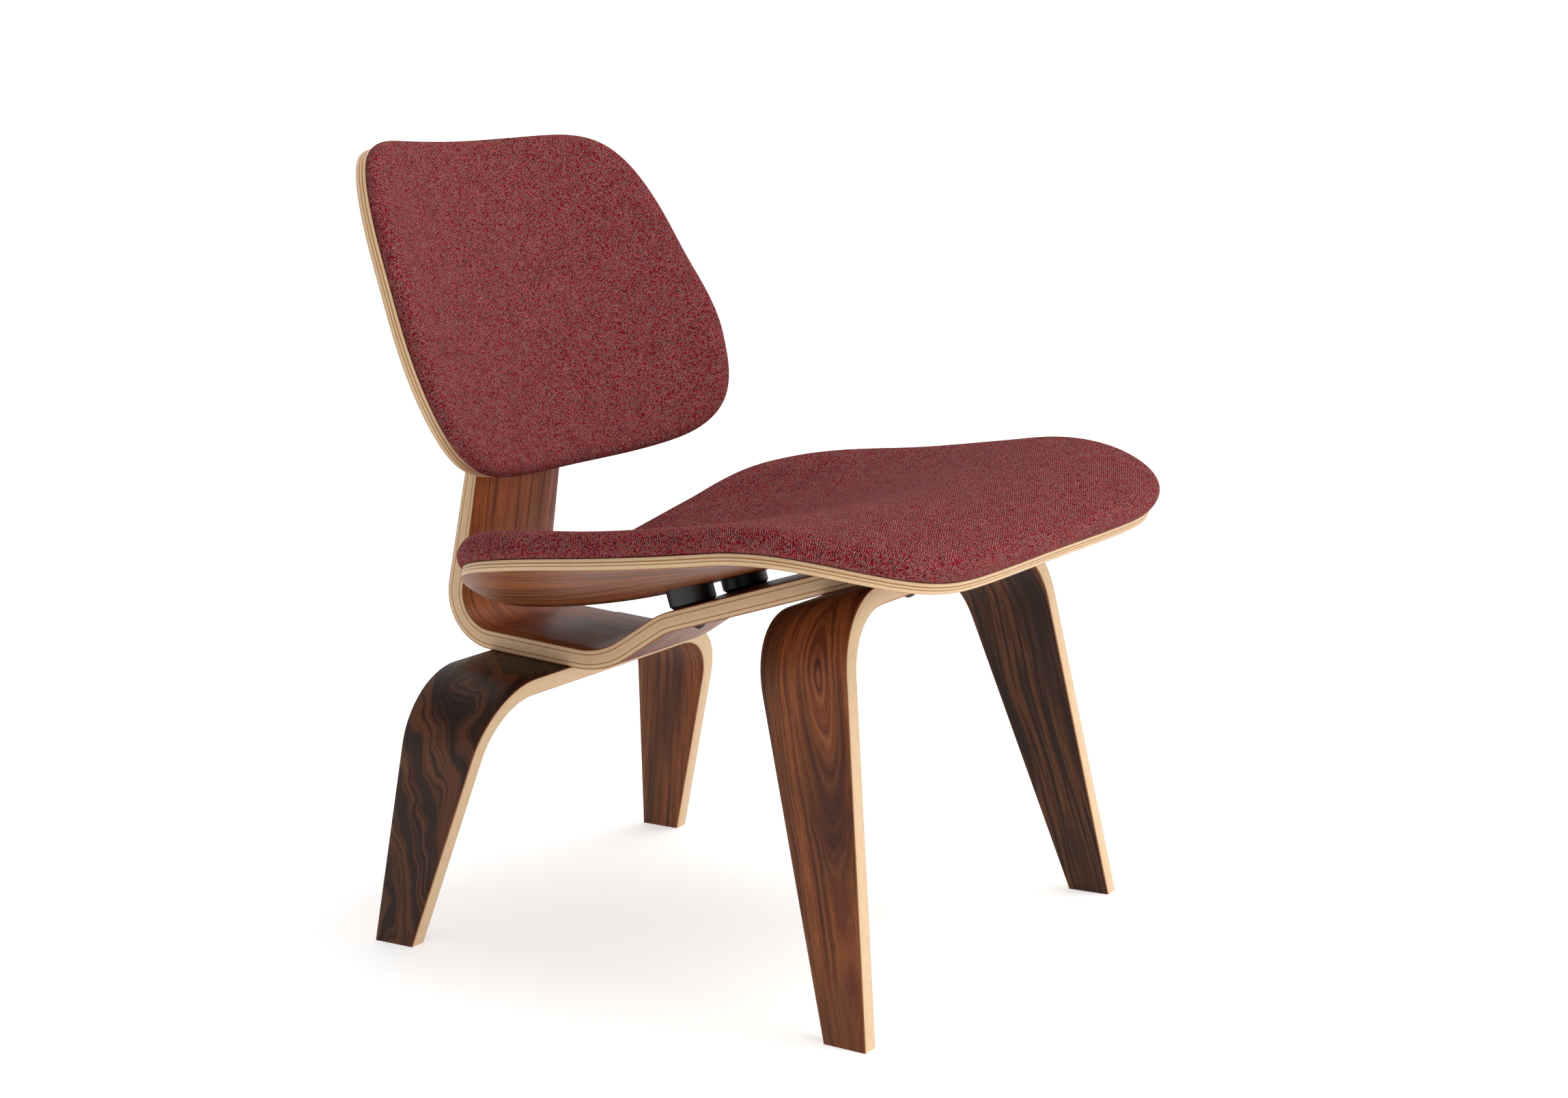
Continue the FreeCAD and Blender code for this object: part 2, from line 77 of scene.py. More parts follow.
# Legs: strips bent to an inverted U and cut to a tapering side view
Leg = namedtuple("Leg", "half_span front_y depth splay front_rake back_rake top_y top_z top_angle")
FRONT_LEG = Leg(234.6, -260.0, 38.0, 0.167, 0.157, 0.318, -122.9, 311.1, -SPINE_RUN_ANGLE)
REAR_LEG = Leg(215.4, 190.7, 39.4, 0.157, -0.292, -0.077, 148.0, 224.1, SPINE_LOW_ANGLE)
LEG_BEND = 71.0

# Seat: half outline in plan, from the middle of the rear round to the middle of the front
SEAT_OUTLINE = (
    (0, 193), (70, 188), (150, 163), (215, 128), (247, 90), (268, 43),
    (279, -45), (285, -150), (262, -250), (215, -294), (135, -307), (0, -306),
)
SEAT_LINE_Z = 312.9
SEAT_ROLL_Y = -150.0
SEAT_ROLL_RATE = 0.0022
SEAT_HOLLOW_Y = 35.0
SEAT_HOLLOW_RATE = 0.00072
SEAT_DISH = (30.4, 0.14, 0.00015)
SEAT_DISH_HALF = 200.0
SEAT_DISH_POWER = 1.6

# Back: half outline on its own plane, from the middle of the top round to the middle of the foot
BACK_OUTLINE = (
    (0, 139), (100, 137), (166, 121), (203, 66), (218, 0),
    (228, -74), (197, -142), (117, -161), (0, -160),
)
BACK_CENTRE_Y = 242.5
BACK_CENTRE_Z = 536.8
BACK_TILT = math.radians(23.55)
BACK_BOW = 0.00114
BACK_BOW_CHANGE = 0.0007
BACK_CURL = 0.00026

# Pads: they rest this far above the plywood, round in over their rim and tuck under at their foot,
# and their rim is fullest at this share of its height
PAD_CLEARANCE = 0.3
PAD_ROUND_IN = 11.0
PAD_TUCK = 0.6
PAD_FOOT_INSET = 6.0
PAD_FULLEST = 0.44
# Rim of the seat pad past the plywood, with more at the rear and at the front corners
SEAT_OVERHANG = 2.6
SEAT_REAR_OVERHANG = 4.6
SEAT_CORNER_OVERHANG = 4.5
# Extra height of the seat pad's rim at the sides toward the rear
SEAT_REAR_RISE = 6.0
# Rim of the back pad past the plywood, with more at the foot and at the top
BACK_OVERHANG = 1.4
BACK_FOOT_OVERHANG = 5.2
BACK_TOP_OVERHANG = 1.2
# The foam holds the cover by this share of a full pin while the cover swells, up to a cap
FOAM_HOLD = 0.2
SWELL_PRESSURE = 4.0
SWELL_FRAMES = 20
SWELL_CAP = 3.0

# Studio: places and sizes in metres, energies in watts and watts per square metre
FLOOR_HALF = 70.0
KEY_DIRECTION = (-0.25, 0.45, -0.95)
KEY_ENERGY = 2.15
KEY_ANGLE = math.radians(55)
SOFTBOX_PLACE = (0.2, -2.8, 0.9)
SOFTBOX_AIM = (0.0, 0.1, 0.3)
SOFTBOX_SIZE = (1.8, 1.2)
SOFTBOX_ENERGY = 22.0

# Camera of the photograph, in metres and radians, with its lens in millimetres
CAMERA_PLACE = (-1.90466, -1.16702, 0.73709)
CAMERA_YAW = math.radians(59.462)
CAMERA_FALL = math.radians(10.365)
CAMERA_LENS_MM = 60.67
CAMERA_SENSOR_MM = 36.0
CAMERA_REACH = 200.0

# Points that the meshes take across and along a strip, and between two points of an outline
SPINE_COLUMNS = 9
LEG_COLUMNS = 7
RUN_STEPS = 12
BEND_STEPS = 14
LEG_BAR_POINTS = 9
LEG_BEND_POINTS = 15
LEG_SHANK_POINTS = 17
OUTLINE_STEPS = 40
# A sanded corner passes through a point at this share of its rounding
EDGE_SOFT = 0.3
# Faces that meet at more than this stay sharp
SHARP_DEGREES = 40


def linear(colour):
    """An sRGB hex colour as linear red, green and blue."""
    channels = [int(colour[i:i + 2], 16) / 255 for i in (0, 2, 4)]
    return tuple(c / 12.92 if c <= 0.04045 else ((c + 0.055) / 1.055) ** 2.4 for c in channels)


def length(name, description, default):
    return FloatProperty(name=name, description=description, default=default, unit="LENGTH", precision=4)


def colour(name, description, default):
    return FloatVectorProperty(name=name, description=description, default=linear(default),
                               subtype="COLOR", size=3, min=0.0, max=1.0)


class ChairSizes(bpy.types.PropertyGroup):
    """Sizes of plywood, pads and weave"""
    spine_thickness: length("Spine", "Thickness of the spine at the seat", 0.0174)
    spine_upper_thickness: length("Spine top", "Thickness of the spine behind the back", 0.012)
    spine_low_width: length("Spine width", "Width of the spine at its heel", 0.137)
    spine_upper_width: length("Spine top width", "Width of the spine at its upper end", 0.117)
    spine_front_width: length("Spine front width", "Width of the spine at its front end", 0.126)
    leg_thickness: length("Legs", "Thickness of the bent legs", 0.0158)
    seat_thickness: length("Seat", "Thickness of the seat plywood", 0.0095)
    back_thickness: length("Back", "Thickness of the back plywood", 0.009)
    edge_round: length("Edge rounding", "Sanded rounding of the plywood edges", 0.0009)
    seat_pad_edge: length("Seat pad edge", "Height of the seat pad at its rim", 0.019)
    seat_pad_crown: length("Seat pad crown", "Extra height of the seat pad in the middle", 0.003)
    back_pad_edge: length("Back pad edge", "Height of the back pad at its rim", 0.0135)
    back_pad_crown: length("Back pad crown", "Extra height of the back pad in the middle", 0.004)
    thread_spacing: length("Thread spacing", "Distance between the tweed's threads", 0.00082)


class ChairColours(bpy.types.PropertyGroup):
    """Colours of the finishes"""
    veneer_dark: colour("Veneer dark", "Dark streaks of the veneer", "22110A")
    veneer_mid: colour("Veneer", "Main brown of the veneer", "73391E")
    veneer_light: colour("Veneer light", "Pale bands of the veneer", "96592B")
    ply_pale: colour("Ply", "Pale plies seen at the edges", "D0B38F")
    ply_brown: colour("Ply across", "Browner plies and glue lines at the edges", "9A6D46")
    tweed_red: colour("Tweed red", "Crimson thread", "7C1320")
    tweed_dark: colour("Tweed dark", "Dark wine thread", "3A0A10")
    tweed_tan: colour("Tweed tan", "Tan thread", "956559")
    tweed_grey: colour("Tweed grey", "Grey thread", "765756")
    rubber: colour("Rubber", "Moulded rubber of the discs", "111112")
    steel: colour("Steel", "Blackened steel of the screws", "3A3735")
    zinc: colour("Zinc", "Zinc plating of the inserts", "A9A8A2")
    floor: colour("Floor", "Studio floor", "DAD9D7")


def millimetres(size):
    return size * 1000


def place(x, y, z):
    """A point of the drawing as a point of the frame, in metres."""
    return Vector((x, y + DRAWING_Y, z)) / 1000


def place_on_back(across, up, ahead):
    """A point on the back's own plane as a point of the frame."""
    y = BACK_CENTRE_Y + math.sin(BACK_TILT) * up - math.cos(BACK_TILT) * ahead
    z = BACK_CENTRE_Z + math.cos(BACK_TILT) * up + math.sin(BACK_TILT) * ahead
    return place(across, y, z)


# Meshes

class Skin:
    """Points and faces of one piece, with a finish and two maps at every corner of a face."""

    def __init__(self):
        self.points = []
        self.faces = []
        self.finishes = []
        self.grain = []
        self.layers = []

    def add_point(self, point):
        self.points.append(point)
        return len(self.points) - 1

    def add_face(self, corners, grain, layers, finish):
        self.faces.append(corners)
        self.grain.extend(grain)
        self.layers.extend(layers)
        self.finishes.append(finish)

    def make(self, name, materials, sharp_degrees=None):
        mesh = bpy.data.meshes.new(name)
        mesh.from_pydata(self.points, [], self.faces)
        for map_name, values in (("grain", self.grain), ("layers", self.layers)):
            uv = mesh.uv_layers.new(name=map_name)
            for corner, value in zip(uv.data, values):
                corner.uv = value
        for material in materials:
            mesh.materials.append(material)
        mesh.polygons.foreach_set("material_index", self.finishes)
        mesh.shade_smooth()
        if sharp_degrees:
            mesh.set_sharp_from_angle(angle=math.radians(sharp_degrees))
        if mesh.validate():
            raise RuntimeError(name + " has faces that Blender had to mend")
        mesh.update()
        piece = bpy.data.objects.new(name, mesh)
        bpy.context.scene.collection.objects.link(piece)
        return piece


# Finishes of a plywood piece: its upper or outer face, its edge, and its under or inner face
OUTER_VENEER = 0
PLY_EDGE = 1
INNER_VENEER = 2


def spread(low, high, count):
    return [low + (high - low) * i / (count - 1) for i in range(count)]


def strip_ring(width, thickness, rounding, columns):
    """Shares across and through a strip, once round its section with sanded corners."""
    side = rounding / width
    deep = rounding / thickness
    soft = EDGE_SOFT
    upper = [(v, 0.0) for v in spread(side, 1 - side, columns)]
    right = [(1 - side * soft, deep * soft), (1.0, deep), (1.0, 0.5), (1.0, 1 - deep),
             (1 - side * soft, 1 - deep * soft)]
    lower = [(v, 1.0) for v in spread(1 - side, side, columns)]
    left = [(side * soft, 1 - deep * soft), (0.0, 1 - deep), (0.0, 0.5), (0.0, deep),
            (side * soft, deep * soft)]
    return upper + right + lower + left


def strip_skin(rings, marks):
    """Skin of a strip from its sections; each mark is metres along and across and a share of depth."""
    skin = Skin()
    rows = [[skin.add_point(point) for point in ring] for ring in rings]
    count = len(rows[0])

    def maps(pairs):
        picked = [marks[i][j] for i, j in pairs]
        return [(a, c) for a, c, d in picked], [(a + c, d) for a, c, d in picked]

    for i in range(len(rows) - 1):
        for j in range(count):
            after = (j + 1) % count
            pairs = [(i, j), (i, after), (i + 1, after), (i + 1, j)]
            depths = {marks[r][c][2] for r, c in pairs}
            finish = PLY_EDGE
            if depths == {0.0}:
                finish = OUTER_VENEER
            elif depths == {1.0}:
                finish = INNER_VENEER
            grain, layers = maps(pairs)
            skin.add_face([rows[r][c] for r, c in pairs], grain, layers, finish)
    for i, step in ((0, -1), (len(rows) - 1, 1)):
        pairs = [(i, j) for j in range(count)][::step]
        grain, layers = maps(pairs)
        skin.add_face([rows[r][c] for r, c in pairs], grain, layers, PLY_EDGE)
    return skin


# Spine

def side_unit(y, z):
    size = math.hypot(y, z)
    return y / size, z / size


def spine_stations(thickness, upper_thickness):
    """Pairs of an underside and an upper point, down the whole bent strip."""
    corners = SPINE_CORNERS
    runs = [side_unit(b[0] - a[0], b[1] - a[1]) for a, b in zip(corners, corners[1:])]
    upper = []
    for i, (y, z, radius) in enumerate(corners):
        thick = upper_thickness if i >= SPINE_NECK else thickness
        before = runs[max(i - 1, 0)]
        after = runs[min(i, len(runs) - 1)]
        middle = side_unit(-before[1] - after[1], before[0] + after[0])
        lean = middle[0] * -after[1] + middle[1] * after[0]
        reach = thick / lean
        turn_left = before[0] * after[1] - before[1] * after[0] > 0
        inner_radius = radius - thick if turn_left else radius + thick
        upper.append((y + middle[0] * reach, z + middle[1] * reach, inner_radius if radius else 0.0))
    return list(zip(bent_line(corners), bent_line(upper)))


def bent_line(corners):
    """Points along straight runs joined by tangent arcs, the same count whatever the radii."""
    points = []
    start = corners[0][:2]
    for i in range(1, len(corners) - 1):
        y, z, radius = corners[i]
        before = side_unit(y - corners[i - 1][0], z - corners[i - 1][1])
        after = side_unit(corners[i + 1][0] - y, corners[i + 1][1] - z)
        half_turn = math.acos(max(-1.0, min(1.0, before[0] * after[0] + before[1] * after[1]))) / 2
        trim = radius * math.tan(half_turn)
        arc_start = (y - before[0] * trim, z - before[1] * trim)
        arc_end = (y + after[0] * trim, z + after[1] * trim)
        points += line_points(start, arc_start, RUN_STEPS)
        inward = side_unit(after[0] - before[0], after[1] - before[1])
        lean = math.cos(half_turn)
        centre = (y + inward[0] * radius / lean, z + inward[1] * radius / lean)
        points += arc_points(centre, arc_start, arc_end, BEND_STEPS)
        start = arc_end
    return points + end_points(start, corners[-1][:2])


def line_points(a, b, count):
    return [(a[0] + (b[0] - a[0]) * i / count, a[1] + (b[1] - a[1]) * i / count) for i in range(count)]


def arc_points(centre, a, b, count):
    first = math.atan2(a[1] - centre[1], a[0] - centre[0])
    sweep = math.atan2(b[1] - centre[1], b[0] - centre[0]) - first
    sweep = (sweep + math.pi) % (2 * math.pi) - math.pi
    radius = math.dist(centre, a)
    turns = [first + sweep * i / count for i in range(count)]
    return [(centre[0] + radius * math.cos(t), centre[1] + radius * math.sin(t)) for t in turns]


def end_points(a, b):
    """Last run, with close points over the rounded end."""
    whole = math.dist(a, b)
    steps = spread(0, whole - SPINE_END_ROUND, 10)
    steps += [whole - SPINE_END_ROUND * (1 - math.sin(math.radians(t))) for t in range(10, 91, 10)]
    return [(a[0] + (b[0] - a[0]) * s / whole, a[1] + (b[1] - a[1]) * s / whole) for s in steps]


def spine_half_width(sizes, y, z, left_to_end):
    """The strip narrows up its upright and towards its front end, and its upper corners are round."""
    low = millimetres(sizes.spine_low_width) / 2
    top = millimetres(sizes.spine_upper_width) / 2
    front = millimetres(sizes.spine_front_width) / 2
    end_z = SPINE_CORNERS[-1][1]
    front_y = SPINE_CORNERS[0][0]
    low_y = SPINE_CORNERS[2][0]
    rise = low + (top - low) * max(z - SPINE_LOW_Z, 0) / (end_z - SPINE_LOW_Z)
    run = low + (front - low) * max(low_y - y, 0) / (low_y - front_y)
    half = min(rise, run)
    if left_to_end < SPINE_END_ROUND:
        gone = SPINE_END_ROUND - left_to_end
        half -= SPINE_END_ROUND - math.sqrt(max(SPINE_END_ROUND ** 2 - gone ** 2, 0))
    return half


def spine_skin(sizes):
    thickness = millimetres(sizes.spine_thickness)
    stations = spine_stations(thickness, millimetres(sizes.spine_upper_thickness))
    along = [0.0]
    for (a, b), (c, d) in zip(stations, stations[1:]):
        along.append(along[-1] + (math.dist(a, c) + math.dist(b, d)) / 2)
    rings, marks = [], []
    rounding = millimetres(sizes.edge_round)
    for (under, over), run in zip(stations, along):
        thick = math.dist(under, over)
        ring, mark = [], []
        for v, d in strip_ring(millimetres(sizes.spine_low_width), thick, rounding, SPINE_COLUMNS):
            y = over[0] + (under[0] - over[0]) * d
            z = over[1] + (under[1] - over[1]) * d
            half = spine_half_width(sizes, y, z, along[-1] - run)
            x = half * (2 * v - 1)
            ring.append(place(x, y, z))
            mark.append((run / 1000, x / 1000, d))
        rings.append(ring)
        marks.append(mark)
    return strip_skin(rings, marks)


# Legs

def leg_skin(leg, sizes, matched):
    """Strip of the inverted U: every point is found from its place along, across and through it.
    On a matched strip the veneer's figure runs up from both feet."""
    thickness = millimetres(sizes.leg_thickness)
    turn = math.radians(leg.top_angle)
    along_y, along_z = math.cos(turn), math.sin(turn)
    up_y, up_z = -along_z, along_y
    middle_y = leg.front_y + leg.depth / 2
    crest = (leg.top_y - middle_y) * up_y + leg.top_z * up_z
    tilt = math.atan(leg.splay)
    centre_up = crest - LEG_BEND
    centre_x = leg.half_span - leg.splay * centre_up - LEG_BEND * math.sqrt(1 + leg.splay ** 2)

    def edge_shift(height, edge_y, rake):
        return (edge_y - middle_y + (rake * up_z - up_y) * height) / (along_y - rake * along_z)

    def shift(height, v):
        front = edge_shift(height, leg.front_y, leg.front_rake)
        back = edge_shift(height, leg.front_y + leg.depth, leg.back_rake)
        return front + (back - front) * v

    def foot_height(v):
        """Height along the strip's own up direction at which this line across it meets the floor."""
        base = shift(0.0, v)
        rate = shift(1.0, v) - base
        return -along_z * base / (up_z + along_z * rate)

    def sheet_point(part, share, v, d):
        radius = LEG_BEND - thickness * d
        if part == "bar":
            x, height = centre_x * share, centre_up + radius
        elif part == "bend":
            angle = math.pi / 2 + (tilt - math.pi / 2) * share
            x, height = centre_x + radius * math.cos(angle), centre_up + radius * math.sin(angle)
        else:
            end_x = centre_x + radius * math.cos(tilt)
            end_up = centre_up + radius * math.sin(tilt)
            height = end_up + (foot_height(v) - end_up) * share
            x = end_x + (end_up - height) * math.tan(tilt)
        a = shift(height, v)
        return x, middle_y + up_y * height + along_y * a, up_z * height + along_z * a

    half = [("bar", s) for s in spread(0, 1, LEG_BAR_POINTS)]
    half += [("bend", s) for s in spread(0, 1, LEG_BEND_POINTS)[1:]]
    half += [("shank", s) for s in spread(0, 1, LEG_SHANK_POINTS)[1:]]
    stations = [(-1, part, s) for part, s in reversed(half[1:])] + [(1, part, s) for part, s in half]
    rings, marks = [], []
    run = 0.0
    last = None
    for side, part, share in stations:
        x, y, z = sheet_point(part, share, 0.5, 0.0)
        here = (side * x, y, z)
        if last:
            run += math.dist(here, last)
        last = here
        broad = math.dist(sheet_point(part, share, 0.0, 0.0), sheet_point(part, share, 1.0, 0.0))
        ring, mark = [], []
        for v, d in strip_ring(broad, thickness, millimetres(sizes.edge_round), LEG_COLUMNS):
            x, y, z = sheet_point(part, share, v, d)
            ring.append(place(side * x, y, z))
            mark.append((run / 1000, (v - 0.5) * broad / 1000, d))
        rings.append(ring)
        marks.append(mark)
    if matched:
        whole = run / 1000
        marks = [[(min(along, whole - along), across, d) for along, across, d in mark] for mark in marks]
    return strip_skin(rings, marks)


# Panels and pads

Form = namedtuple("Form", "height outline place")
# A panel's face is a net of this many quads each way, with four times as many points round its rim
CELLS = 48


def seat_height(x, y):
    """Upper face of the seat plywood: a falling line, rolled at the front, dished at the sides."""
    line = SEAT_LINE_Z - math.tan(math.radians(SPINE_RUN_ANGLE)) * y
    roll = SEAT_ROLL_RATE * max(SEAT_ROLL_Y - y, 0.0) ** 2
    hollow = SEAT_HOLLOW_RATE * max(y - SEAT_HOLLOW_Y, 0.0) ** 2
    lift = SEAT_DISH[0] + SEAT_DISH[1] * y + SEAT_DISH[2] * y * y
    return line - roll + hollow + lift * (abs(x) / SEAT_DISH_HALF) ** SEAT_DISH_POWER


def back_height(across, up):
    """Front face of the back plywood: its sides and both ends come forward."""
    return BACK_BOW * across ** 2 * (1 + BACK_BOW_CHANGE * up) + BACK_CURL * up ** 2


def closed_curve(half, count):
    """Even points, anticlockwise from the front right, on the smooth curve through a mirrored outline."""
    left = [(-x, y) for x, y in half]
    knots = np.array(left + [(x, y) for x, y in reversed(half[1:-1])], float)
    total = len(knots)
    ahead = np.roll(knots, -1, axis=0)
    steps = np.linalg.norm(ahead - knots, axis=1)
    system = np.zeros((total, total))
    right = np.zeros((total, 2))
    for i in range(total):
        before, after = steps[i - 1], steps[i]
        system[i, i - 1] = after
        system[i, i] = 2 * (before + after)
        system[i, (i + 1) % total] = before
        pull_before = after / before * (knots[i] - knots[i - 1])
        pull_after = before / after * (ahead[i] - knots[i])
        right[i] = 3 * (pull_before + pull_after)
    slopes = np.linalg.solve(system, right)
    fine = []
    for i in range(total):
        for t in np.linspace(0, 1, OUTLINE_STEPS, endpoint=False):
            here, there = knots[i], ahead[i]
            pull_a, pull_b = slopes[i] * steps[i], slopes[(i + 1) % total] * steps[i]
            fine.append(here * (1 + 2 * t) * (1 - t) ** 2 + pull_a * t * (1 - t) ** 2
                        + there * t * t * (3 - 2 * t) + pull_b * t * t * (t - 1))
    fine = np.array(fine)
    angles = np.arctan2(fine[:, 1] - fine[:, 1].mean(), fine[:, 0])
    fine = np.roll(fine, -int(np.argmin(np.abs(angles + math.pi / 4))), axis=0)
    loop = np.vstack([fine, fine[:1]])
    run = np.concatenate([[0], np.cumsum(np.linalg.norm(np.diff(loop, axis=0), axis=1))])
    wanted = np.linspace(0, run[-1], count, endpoint=False)
    return np.column_stack([np.interp(wanted, run, loop[:, 0]), np.interp(wanted, run, loop[:, 1])])


def inward(rim):
    along = np.roll(rim, -1, axis=0) - np.roll(rim, 1, axis=0)
    along /= np.linalg.norm(along, axis=1)[:, None]
    return np.column_stack([-along[:, 1], along[:, 0]])


def lifted(form, a, b, lift):
    """A point over the panel's form, lifted along the form's normal."""
    step = 0.5
    slope_a = (form.height(a + step, b) - form.height(a - step, b)) / (2 * step)
    slope_b = (form.height(a, b + step) - form.height(a, b - step)) / (2 * step)
    normal = Vector((-slope_a, -slope_b, 1)).normalized()
    at = Vector((a, b, form.height(a, b))) + normal * lift
    return form.place(*at)


def lattice_place(i, j):
    """Ring from 0 at the middle to 1 at the rim, and share of the way round, for a lattice point."""
    a, b = 2 * i - CELLS, 2 * j - CELLS
    ring = max(abs(a), abs(b))
    if ring == 0:
        return 0.0, 0.0
    if a == ring:
        turn = (b / ring + 1) / 8
    elif b == ring:
        turn = 0.25 + (1 - a / ring) / 8
    elif a == -ring:
        turn = 0.5 + (1 - b / ring) / 8
    else:
        turn = 0.75 + (a / ring + 1) / 8
    return ring / CELLS, turn % 1.0


def rim_order():
    """Lattice points of the rim, once round."""
    points = [(i, j) for i in range(CELLS + 1) for j in range(CELLS + 1)]
    edge = [p for p in points if lattice_place(*p)[0] == 1.0]
    return sorted(edge, key=lambda p: lattice_place(*p)[1])


def on_rim(rim, turn):
    index = turn * len(rim)
    low = int(index) % len(rim)
    share = index - int(index)
    return rim[low] * (1 - share) + rim[(low + 1) % len(rim)] * share


def add_cap(skin, form, rim, lift, finish, upward):
    """Face of a panel or pad as an even net of quads out to the rim; returns the rim's points in order."""
    middle = rim.mean(axis=0)
    numbers, spots = {}, {}
    for i in range(CELLS + 1):
        for j in range(CELLS + 1):
            ring, turn = lattice_place(i, j)
            spot = middle + (on_rim(rim, turn) - middle) * ring
            numbers[i, j] = skin.add_point(lifted(form, spot[0], spot[1], lift(spot[0], spot[1])))
            spots[i, j] = (spot[1] / 1000, spot[0] / 1000)
    for i in range(CELLS):
        for j in range(CELLS):
            corners = [(i, j), (i + 1, j), (i + 1, j + 1), (i, j + 1)]
            if not upward:
                corners.reverse()
            skin.add_face([numbers[c] for c in corners], [spots[c] for c in corners],
                          [(0.0, 0.0)] * 4, finish)
    return [numbers[c] for c in rim_order()]


def add_band(skin, upper, lower, upper_maps, lower_maps, finish):
    """Quads between two rims; each map list has one more entry than the rim, to close without a jump."""
    count = len(upper)
    for k in range(count):
        after = (k + 1) % count
        grain = [upper_maps[0][k], lower_maps[0][k], lower_maps[0][k + 1], upper_maps[0][k + 1]]
        layers = [upper_maps[1][k], lower_maps[1][k], lower_maps[1][k + 1], upper_maps[1][k + 1]]
        skin.add_face([upper[k], lower[k], lower[after], upper[after]], grain, layers, finish)


def rim_length(rim):
    steps = np.linalg.norm(np.roll(rim, -1, axis=0) - rim, axis=1)
    return np.concatenate([[0], np.cumsum(steps)]) / 1000


def panel_skin(form, thickness, rounding):
    """Moulded sheet: two faces of veneer and a sanded edge that shows its plies."""
    skin = Skin()
    rim = form.outline
    toward = inward(rim)
    run = rim_length(rim)
    face_rim = rim + toward * rounding
    soft = rounding * EDGE_SOFT

    def maps(depth):
        return [(r, 0.0) for r in run], [(r, depth) for r in run]

    top = add_cap(skin, form, face_rim, lambda a, b: 0.0, OUTER_VENEER, True)
    bands = [(top, maps(0.0))]
    for inset, lift in ((soft, soft), (0.0, rounding), (0.0, thickness / 2),
                        (0.0, thickness - rounding), (soft, thickness - soft)):
        spots = rim + toward * inset
        ring = [skin.add_point(lifted(form, a, b, -lift)) for a, b in spots]
        bands.append((ring, maps(lift / thickness)))
    bottom = add_cap(skin, form, face_rim, lambda a, b: -thickness, INNER_VENEER, False)
    bands.append((bottom, maps(1.0)))
    for (upper, upper_maps), (lower, lower_maps) in zip(bands, bands[1:]):
        add_band(skin, upper, lower, upper_maps, lower_maps, PLY_EDGE)
    return skin


def pad_skin(form, edge, crown, bulge):
    """Closed cushion: crowned face, full rounded rim that hangs over the plywood, flat underside."""
    skin = Skin()
    rim = form.outline
    toward = inward(rim)
    half_a = np.abs(rim[:, 0]).max()
    middle_b = (rim[:, 1].max() + rim[:, 1].min()) / 2
    half_b = (rim[:, 1].max() - rim[:, 1].min()) / 2
    height = np.array([edge(a, b) for a, b in rim])
    full = height * PAD_FULLEST
    out = np.array([bulge(a, b) for a, b in rim])

    def dome(a, b):
        share = (1 - (a / half_a) ** 2) * (1 - ((b - middle_b) / half_b) ** 2)
        return PAD_CLEARANCE + edge(a, b) + crown * max(share, 0.0)

    profile = []
    for degrees in (90, 72, 54, 36, 18, 0):
        turn = math.radians(degrees)
        rise = full + (height - full) * math.sin(turn)
        profile.append((PAD_ROUND_IN * (1 - math.cos(turn)) - out, rise))
    for degrees in (22, 44, 66, 90):
        turn = math.radians(degrees)
        profile.append(((out + PAD_TUCK) * (1 - math.cos(turn)) - out, full * (1 - math.sin(turn))))
    inset, lift = profile[0]
    face_rim = rim + toward * inset[:, None]
    top = add_cap(skin, form, face_rim, dome, 0, True)
    spots = np.vstack([face_rim, face_rim[:1]])
    away = np.vstack([toward, toward[:1]])
    reach = 0.0

    def maps(distance):
        moved = (spots - away * distance) / 1000
        return [(b, a) for a, b in moved], [(0.0, 0.0)] * len(moved)

    bands = [(top, maps(0.0))]
    for (last_inset, last_lift), (inset, lift) in zip(profile, profile[1:]):
        reach += math.hypot(float((last_inset - inset).mean()), float((last_lift - lift).mean()))
        at = rim + toward * inset[:, None]
        ring = [skin.add_point(lifted(form, a, b, PAD_CLEARANCE + c)) for (a, b), c in zip(at, lift)]
        bands.append((ring, maps(reach)))
    foot_rim = rim + toward * (PAD_TUCK + PAD_FOOT_INSET)
    first_held = len(skin.points) - len(rim)
    foot = add_cap(skin, form, foot_rim, lambda a, b: PAD_CLEARANCE, 0, False)
    bands.append((foot, maps(reach + PAD_FOOT_INSET)))
    for (upper, upper_maps), (lower, lower_maps) in zip(bands, bands[1:]):
        add_band(skin, upper, lower, upper_maps, lower_maps, 0)
    return skin, list(range(first_held, len(skin.points)))


def swell(piece, held):
    """Let a cover swell over its filling, held fast where it meets the plywood and lightly by the foam
    elsewhere."""
    group = piece.vertex_groups.new(name="held")
    group.add(range(len(piece.data.vertices)), FOAM_HOLD, "REPLACE")
    group.add(held, 1.0, "REPLACE")
    cloth = piece.modifiers.new("cloth", "CLOTH")
    cloth.settings.vertex_group_mass = group.name
    cloth.settings.use_pressure = True
    cloth.settings.uniform_pressure_force = SWELL_PRESSURE
    cloth.settings.effector_weights.gravity = 0.0
    cloth.collision_settings.use_collision = False
    scene = bpy.context.scene
    for step in range(1, SWELL_FRAMES + 1):
        scene.frame_set(step)
    swollen = piece.evaluated_get(bpy.context.evaluated_depsgraph_get())
    reach = SWELL_CAP / 1000
    for point, end in zip(piece.data.vertices, [v.co.copy() for v in swollen.data.vertices]):
        moved = end - point.co
        if moved.length > reach:
            moved *= reach / moved.length
        point.co += moved
    piece.modifiers.remove(cloth)
    piece.vertex_groups.remove(group)
    scene.frame_set(1)
    piece.data.update()


def smooth_step(value, start, end):
    """Share that eases from 0 at the start to 1 at the end."""
    share = min(max((value - start) / (end - start), 0.0), 1.0)
    return share * share * (3 - 2 * share)


def seat_form():
    return Form(seat_height, closed_curve(SEAT_OUTLINE, 4 * CELLS), place)


